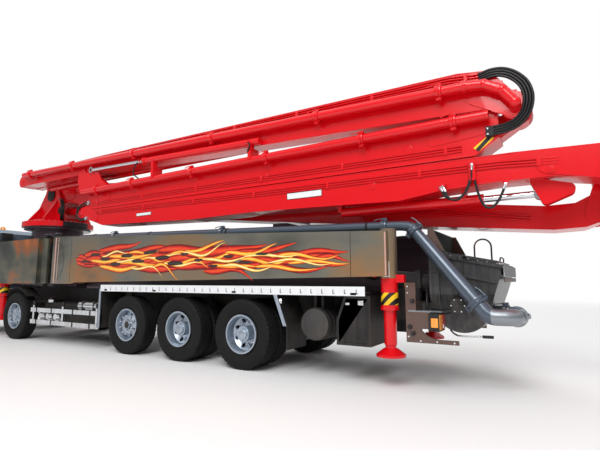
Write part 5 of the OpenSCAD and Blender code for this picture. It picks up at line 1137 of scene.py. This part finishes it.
clamps = [ring_coupling(FOOT, RISE, 0.100), ring_coupling(HEAD, RISE, 0.078),
          ring_coupling((-3.805, 0.75, 0.927), (0, -1, 0.01), 0.099),
          ring_coupling((-3.66, 0.442, 0.930), (1, -0.02, 0), 0.100)]
clamps += [ring_coupling(DECK_START + s * deck_way, deck_way, PIPE_R + 0.004) for s in (0.36, 3.34, 6.32)]
piece("line_couplings", clamps, pipe_grey, bevel=0.003)
saddles = []
for x in (-2.0, 0.6, 2.6, 4.4):
    z = DECK_START[2] + (x + 0.03 - DECK_START[0]) * deck_way[2] / deck_way[0]
    saddles += [block(x, x + 0.06, LINE_Y - 0.04, LINE_Y + 0.04, 1.39, z - 0.05),
                block(x, x + 0.06, 0.66, LINE_Y + 0.04, 1.36, 1.401),
                revolved([(PIPE_R + 0.001, -0.02), (PIPE_R + 0.008, -0.018), (PIPE_R + 0.008, 0.018),
                          (PIPE_R + 0.001, 0.02)], (x + 0.03, LINE_Y, z), "x", 32),
                block(x + 0.012, x + 0.048, LINE_Y - 0.09, LINE_Y + 0.09, z - 0.055, z - 0.043)]
piece("line_saddles", saddles, chassis_black, bevel=0.003)

# CAB FITTINGS
# Headlamps, indicators, grilles, wipers, visor, mirrors, beacons, roof and side trim, steps and air intake, fixed to
# the cab, and the doors' glass, seals, handles and mouldings; moulded plastic, chromed steel and glass.
CAB_HALF, SIDE_LEAN, WINDOW_RISE = 1.18, 0.07, 0.79
SCREEN_FOOT_X, SCREEN_FOOT_Z, CAB_ROOF_Z = 10.17, 1.77, 2.73
SCREEN_LEAN = 0.22 / 0.85
BEACON_X, BEACON_Y = 9.15, (-0.62, 0.62)


def cab_side_y(z):
    """Outer face of the cab's side at a height: upright to the windows, then leaning in."""
    return CAB_HALF - SIDE_LEAN * np.clip((z - SCREEN_FOOT_Z) / WINDOW_RISE, 0, 1)


def screen_x(z):
    """Windscreen's outer face at a height."""
    return SCREEN_FOOT_X - (z - SCREEN_FOOT_Z) * SCREEN_LEAN


def pane(corners, inset, steps=8):
    """Four-cornered pane (u, v), bilinear between (x, z) corners, on the leaning side of the cab."""
    a, b, c, d = np.array(corners, float)
    u = np.linspace(0, 1, steps)[:, None, None]
    v = np.linspace(0, 1, steps)[None, :, None]
    flat = (a * (1 - u) + b * u) * (1 - v) + (d * (1 - u) + c * u) * v
    sheets = [np.stack([flat[..., 0], cab_side_y(flat[..., 1]) - depth, flat[..., 1]], -1).reshape(-1, 3)
              for depth in (inset, inset + 0.006)]
    faces = grid_faces(steps, steps)
    back = [[index + steps * steps for index in face[::-1]] for face in faces]
    return np.concatenate(sheets), faces + back


bowls = [revolved([(0.0, -0.055), (0.03, -0.05), (0.052, -0.03), (0.060, 0.0)], (10.20, y, 0.545), "x", 28)
         for y in (0.925, 1.065)]
piece("lamp_bowls", mirrored(bowls), chrome)
piece("lamp_backs", mirrored([block(10.150, 10.156, 0.852, 1.138, 0.472, 0.618)]), moulded_black)
piece("headlamp_glass", mirrored([block(10.222, 10.232, 0.853, 1.137, 0.473, 0.617)]), glass, bevel=0.004)
piece("corner_indicators",
      mirrored([block(10.00, 10.16, 1.199, 1.212, 0.70, 0.76), block(9.90, 9.96, 1.199, 1.209, 0.90, 0.96)]),
      lamp_amber, bevel=0.004)
slats = [block(10.178, 10.196, -0.715, 0.715, 0.712 + 0.095 * row + 0.014 * k, 0.717 + 0.095 * row + 0.014 * k)
         for row in range(4) for k in range(3)]
piece("bumper_slats", slats, moulded_black)
face_grille = [block(10.180, 10.206 - 0.0008 * k, -0.80, 0.80, 1.225 + 0.062 * k, 1.255 + 0.062 * k) for k in range(6)]
face_grille += [block(10.176, 10.210, s * 0.815 - 0.02, s * 0.815 + 0.02, 1.205, 1.61) for s in (-1, 1)]
piece("face_grille", face_grille, moulded_black, bevel=0.005)
piece("grille_strips", [block(10.207, 10.212, -0.80, 0.80, 1.236 + 0.062 * k, 1.242 + 0.062 * k) for k in range(6)],
      chrome)
wipers = []
for pivot, reach in ((0.62, -0.62), (-0.02, -0.62)):
    start = (screen_x(1.80) + 0.022, pivot, 1.80)
    elbow = (screen_x(1.86) + 0.034, pivot + 0.45 * reach, 1.885)
    wipers += [tube([start, ((start[0] + elbow[0]) / 2 + 0.006, (start[1] + elbow[1]) / 2, 1.85), elbow], 0.007, 8),
               revolved([(0.0, 0.02), (0.018, 0.016), (0.020, 0.0)], (screen_x(1.80) + 0.008, pivot, 1.80), "x", 16),
               tube([(screen_x(1.845) + 0.012, pivot + 0.12 * reach, 1.845),
                     (screen_x(1.885) + 0.014, pivot + 0.5 * reach, 1.885),
                     (screen_x(1.925) + 0.012, pivot + 0.9 * reach, 1.925)], 0.009, 8)]
piece("wipers", wipers, moulded_black)
visor = [slab([(9.985, 2.545), (10.150, 2.505), (10.158, 2.520), (9.995, 2.595)], -1.00, 1.00)]
piece("sun_visor", visor + [slab([(9.93, 2.60), (10.10, 2.535), (10.10, 2.545), (9.95, 2.63)], y - 0.012, y + 0.012)
                            for y in (-0.9, -0.3, 0.3, 0.9)],
      moulded_black, bevel=0.004)
mirror_arms = [tube(smooth_path([(10.02, 1.105, 2.36), (10.10, 1.15, 2.40), (10.17, 1.175, 2.36), (10.185, 1.18, 2.22)],
                                6), 0.012, 12),
               tube(smooth_path([(10.09, 1.13, 1.90), (10.15, 1.16, 1.86), (10.185, 1.175, 1.90)], 6), 0.012, 12)]
piece("mirror_arms", mirrored(mirror_arms), moulded_black)
piece("mirror_heads",
      mirrored([block(10.150, 10.225, 1.085, 1.245, 1.84, 2.22), block(10.155, 10.225, 1.090, 1.243, 1.66, 1.81)]),
      moulded_black, bevel=0.02)
piece("mirror_glass",
      mirrored([block(10.1475, 10.1495, 1.105, 1.225, 1.87, 2.19), block(10.1525, 10.1545, 1.110, 1.225, 1.68, 1.79)]),
      chrome)
beacon = [revolved([(0.0, 0.135), (0.045, 0.130), (0.062, 0.105), (0.066, 0.03)],
                   (BEACON_X, y, CAB_ROOF_Z + 0.005), "z", 28) for y in BEACON_Y]
piece("beacons", beacon, lamp_amber)
piece("beacon_feet",
      [revolved([(0.067, 0.034), (0.078, 0.028), (0.082, 0.0)], (BEACON_X, y, CAB_ROOF_Z), "z", 28) for y in BEACON_Y],
      moulded_black)
piece("roof_markers", [block(9.80, 9.84, y - 0.05, y + 0.05, CAB_ROOF_Z - 0.004, CAB_ROOF_Z + 0.022)
       for y in (-0.8, -0.4, 0.0, 0.4, 0.8)], lamp_amber, bevel=0.008)
piece("roof_hatch", [block(9.22, 9.72, -0.30, 0.30, CAB_ROOF_Z - 0.002, CAB_ROOF_Z + 0.022)], cab_paint, bevel=0.012)
piece("roof_ribs", [block(8.72, 9.12, y - 0.02, y + 0.02, CAB_ROOF_Z - 0.002, CAB_ROOF_Z + 0.010)
                    for y in (-0.4, -0.2, 0.0, 0.2, 0.4)], cab_paint, bevel=0.006)
steps = [block(9.50, 9.84, 1.00, 1.185, z, z + 0.03) for z in (0.45, 0.76)]
steps += [block(9.50, 9.84, 0.985, 1.00, 0.45, 1.14), block(9.485, 9.50, 0.985, 1.185, 0.44, 1.14),
          block(9.84, 9.855, 0.985, 1.185, 0.44, 1.14)]
piece("cab_steps", mirrored(steps), moulded_black, bevel=0.004)
treads_top = [block(9.515 + 0.04 * k, 9.535 + 0.04 * k, 1.01, 1.18, z, z + 0.006) for z in (0.48, 0.79)
              for k in range(8)]
piece("step_treads", mirrored(treads_top), alloy)
intake = [block(8.335, 8.440, 0.72, 0.98, 1.30, 2.62)]
intake += [block(8.326, 8.336, 0.735, 0.965, 1.95 + 0.05 * k, 1.975 + 0.05 * k) for k in range(12)]
piece("air_intake", intake, moulded_black, bevel=0.006)
seams = [block(8.47, 9.00, CAB_HALF + 0.0002, CAB_HALF + 0.0022, z, z + 0.02) for z in (1.44, 1.66)]
piece("side_mouldings", mirrored(seams), moulded_black, bevel=0.002)
WINDOW = [(9.103, 1.831), (9.887, 1.793), (9.763, 2.452), (9.103, 2.452)]
pair("door_glass", [pane(WINDOW, 0.020)], glass, "cab_door")
corners = [np.array((x, cab_side_y(z) + 0.003, z)) for x, z in WINDOW + WINDOW[:1]]
seals = [tube([a, (a + b) / 2, b], 0.010, 8) for a, b in zip(corners, corners[1:])]
pair("window_seal", seals, moulded_black, "cab_door")
pair("door_handle", [block(9.075, 9.225, 1.176, 1.184, 1.565, 1.635), block(9.09, 9.21, 1.186, 1.202, 1.60, 1.622),
                     block(9.09, 9.105, 1.183, 1.190, 1.60, 1.622), block(9.195, 9.21, 1.183, 1.190, 1.60, 1.622)],
     moulded_black, "cab_door", bevel=0.003)
pair("door_moulding", [block(9.03, 9.90, 1.1802, 1.1822, z, z + 0.02) for z in (1.44, 1.66)], moulded_black, "cab_door",
     bevel=0.002)

# CHASSIS FITTINGS
# U-bolts and clamps over the springs, brake chambers, silencer bands, box lids with latches and hinges, and side
# reflectors; forged and pressed steel, bolted on.
BOLT_PATH = [(0.345, 0.52), (0.345, 0.60), (0.346, 0.688), (0.395, 0.700), (0.444, 0.688), (0.445, 0.60), (0.445, 0.52)]
bolts = [tube([(x + d, y, z) for y, z in BOLT_PATH], 0.009, 8) for x in AXLES_X for d in (-0.07, 0.07)]
piece("spring_bolts", mirrored(bolts), cast_grey)
piece("spring_clamps", mirrored([block(x - 0.035, x + 0.035, 0.350, 0.440, 0.655, 0.694) for x in AXLES_X]), cast_grey,
      bevel=0.006)
chambers = [revolved([(0.0, 0.16), (0.05, 0.16), (0.085, 0.14), (0.088, 0.09), (0.098, 0.085), (0.098, 0.07),
                      (0.088, 0.065), (0.082, 0.02), (0.03, 0.0), (0.0, 0.0)],
                     (x - 0.36, 0.52, 0.62), "x", 28) for x in (2.74, 1.37, 0.0)]
piece("brake_chambers", mirrored(chambers), cast_grey)
SILENCER_X, SILENCER_Z = -1.25, 0.74
bands = [revolved([(0.2255, -0.018), (0.231, -0.018), (0.231, 0.018), (0.2255, 0.018)],
                  (SILENCER_X, y, SILENCER_Z), "y", 48, close=True) for y in (0.60, 0.72, 0.84, 0.96, 1.08)]
cover = [revolved([(0.0, 0.022), (0.10, 0.020), (0.19, 0.010), (0.215, 0.0)], (SILENCER_X, 1.131, SILENCER_Z), "y", 48)]
piece("silencer_bands", mirrored(bands + cover), cast_grey)
box_trim = [lip([(-2.10, 1.12), (-1.785, 1.12), (-1.675, 0.82), (-1.675, 0.53), (-2.10, 0.53), (-2.10, 1.12)], 0.006,
                1.2195, 1.2245)]
piece("box_lids", mirrored(box_trim), chassis_black, bevel=0.002)
latches = [block(-2.04, -1.96, 1.220, 1.232, 1.03, 1.09), block(-1.84, -1.78, 1.220, 1.232, 1.03, 1.06)]
piece("box_latches", mirrored(latches), chrome, bevel=0.004)
piece("box_hinges", mirrored([tube([(-2.06, 1.224, 0.56), (-1.99, 1.224, 0.56), (-1.92, 1.224, 0.56)], 0.010, 10),
                              tube([(-1.86, 1.224, 0.56), (-1.79, 1.224, 0.56), (-1.72, 1.224, 0.56)], 0.010, 10)]),
      chassis_black)
piece("side_reflectors", mirrored([block(x, x + 0.09, 1.2385, 1.2480, 1.158, 1.196) for x in (-1.95, 0.1, 1.95, 3.35)]),
      lamp_amber, bevel=0.003)

# DECK FITTINGS
# Hinge pin caps with bolts, tank lid, grab handles, non-slip strips and cooler fan guards; cast, moulded and
# pressed pieces, bolted on.
HINGE_X, HINGE_Y = (5.44, 5.86), 1.11
caps = [revolved([(0.0, 0.024), (0.060, 0.022), (0.072, 0.014), (0.078, 0.0)], (x, HINGE_Y, 2.3995), "z", 36)
        for x in HINGE_X]
piece("hinge_caps", mirrored(caps), cast_grey)
cap_bolts = [studs(on_circle(6, 0.052, (x, HINGE_Y, 2.420), "z"), "z", 0.009, 0.009) for x in HINGE_X]
piece("hinge_cap_bolts", mirrored(cap_bolts), chrome)
piece("tank_lid", [revolved([(0.0, 0.052), (0.13, 0.048), (0.15, 0.032), (0.15, 0.0)], (3.0, 0.20, 2.0995), "z", 40)],
      moulded_black)
piece("deck_handles",
      [tube(smooth_path([(x, y, 2.10), (x, y, 2.17), (x + 0.05, y, 2.20), (x + 0.25, y, 2.20), (x + 0.30, y, 2.17),
                         (x + 0.30, y, 2.10)], 6), 0.011, 10)
                       for x in (2.85, 4.05) for y in (-0.56, 0.56)], chrome)
grip = [block(x, x + 0.012, -0.59, 0.59, 2.0995, 2.106) for x in np.arange(3.3, 4.4, 0.075)]
grip += [block(x, x + 0.012, y0, y1, 1.4355, 1.442) for x in np.arange(2.70, 4.9, 0.11)
         for y0, y1 in ((-0.655, -0.605), (0.605, 0.655))]
piece("deck_grip", grip, alloy)
fans = []
for x in (-2.37, -2.04):
    fans += [revolved([(r - 0.004, 0.0), (r - 0.004, 0.010), (r + 0.004, 0.010), (r + 0.004, 0.0)], (x, -0.635, 2.094),
                      "z", 40, close=True) for r in (0.03, 0.06, 0.09, 0.12, 0.145)]
    fans += [block(x - 0.15, x + 0.15, -0.639, -0.631, 2.0915, 2.0995),
             block(x - 0.004, x + 0.004, -0.785, -0.485, 2.0915, 2.0995)]
piece("cooler_fans", fans, moulded_black)
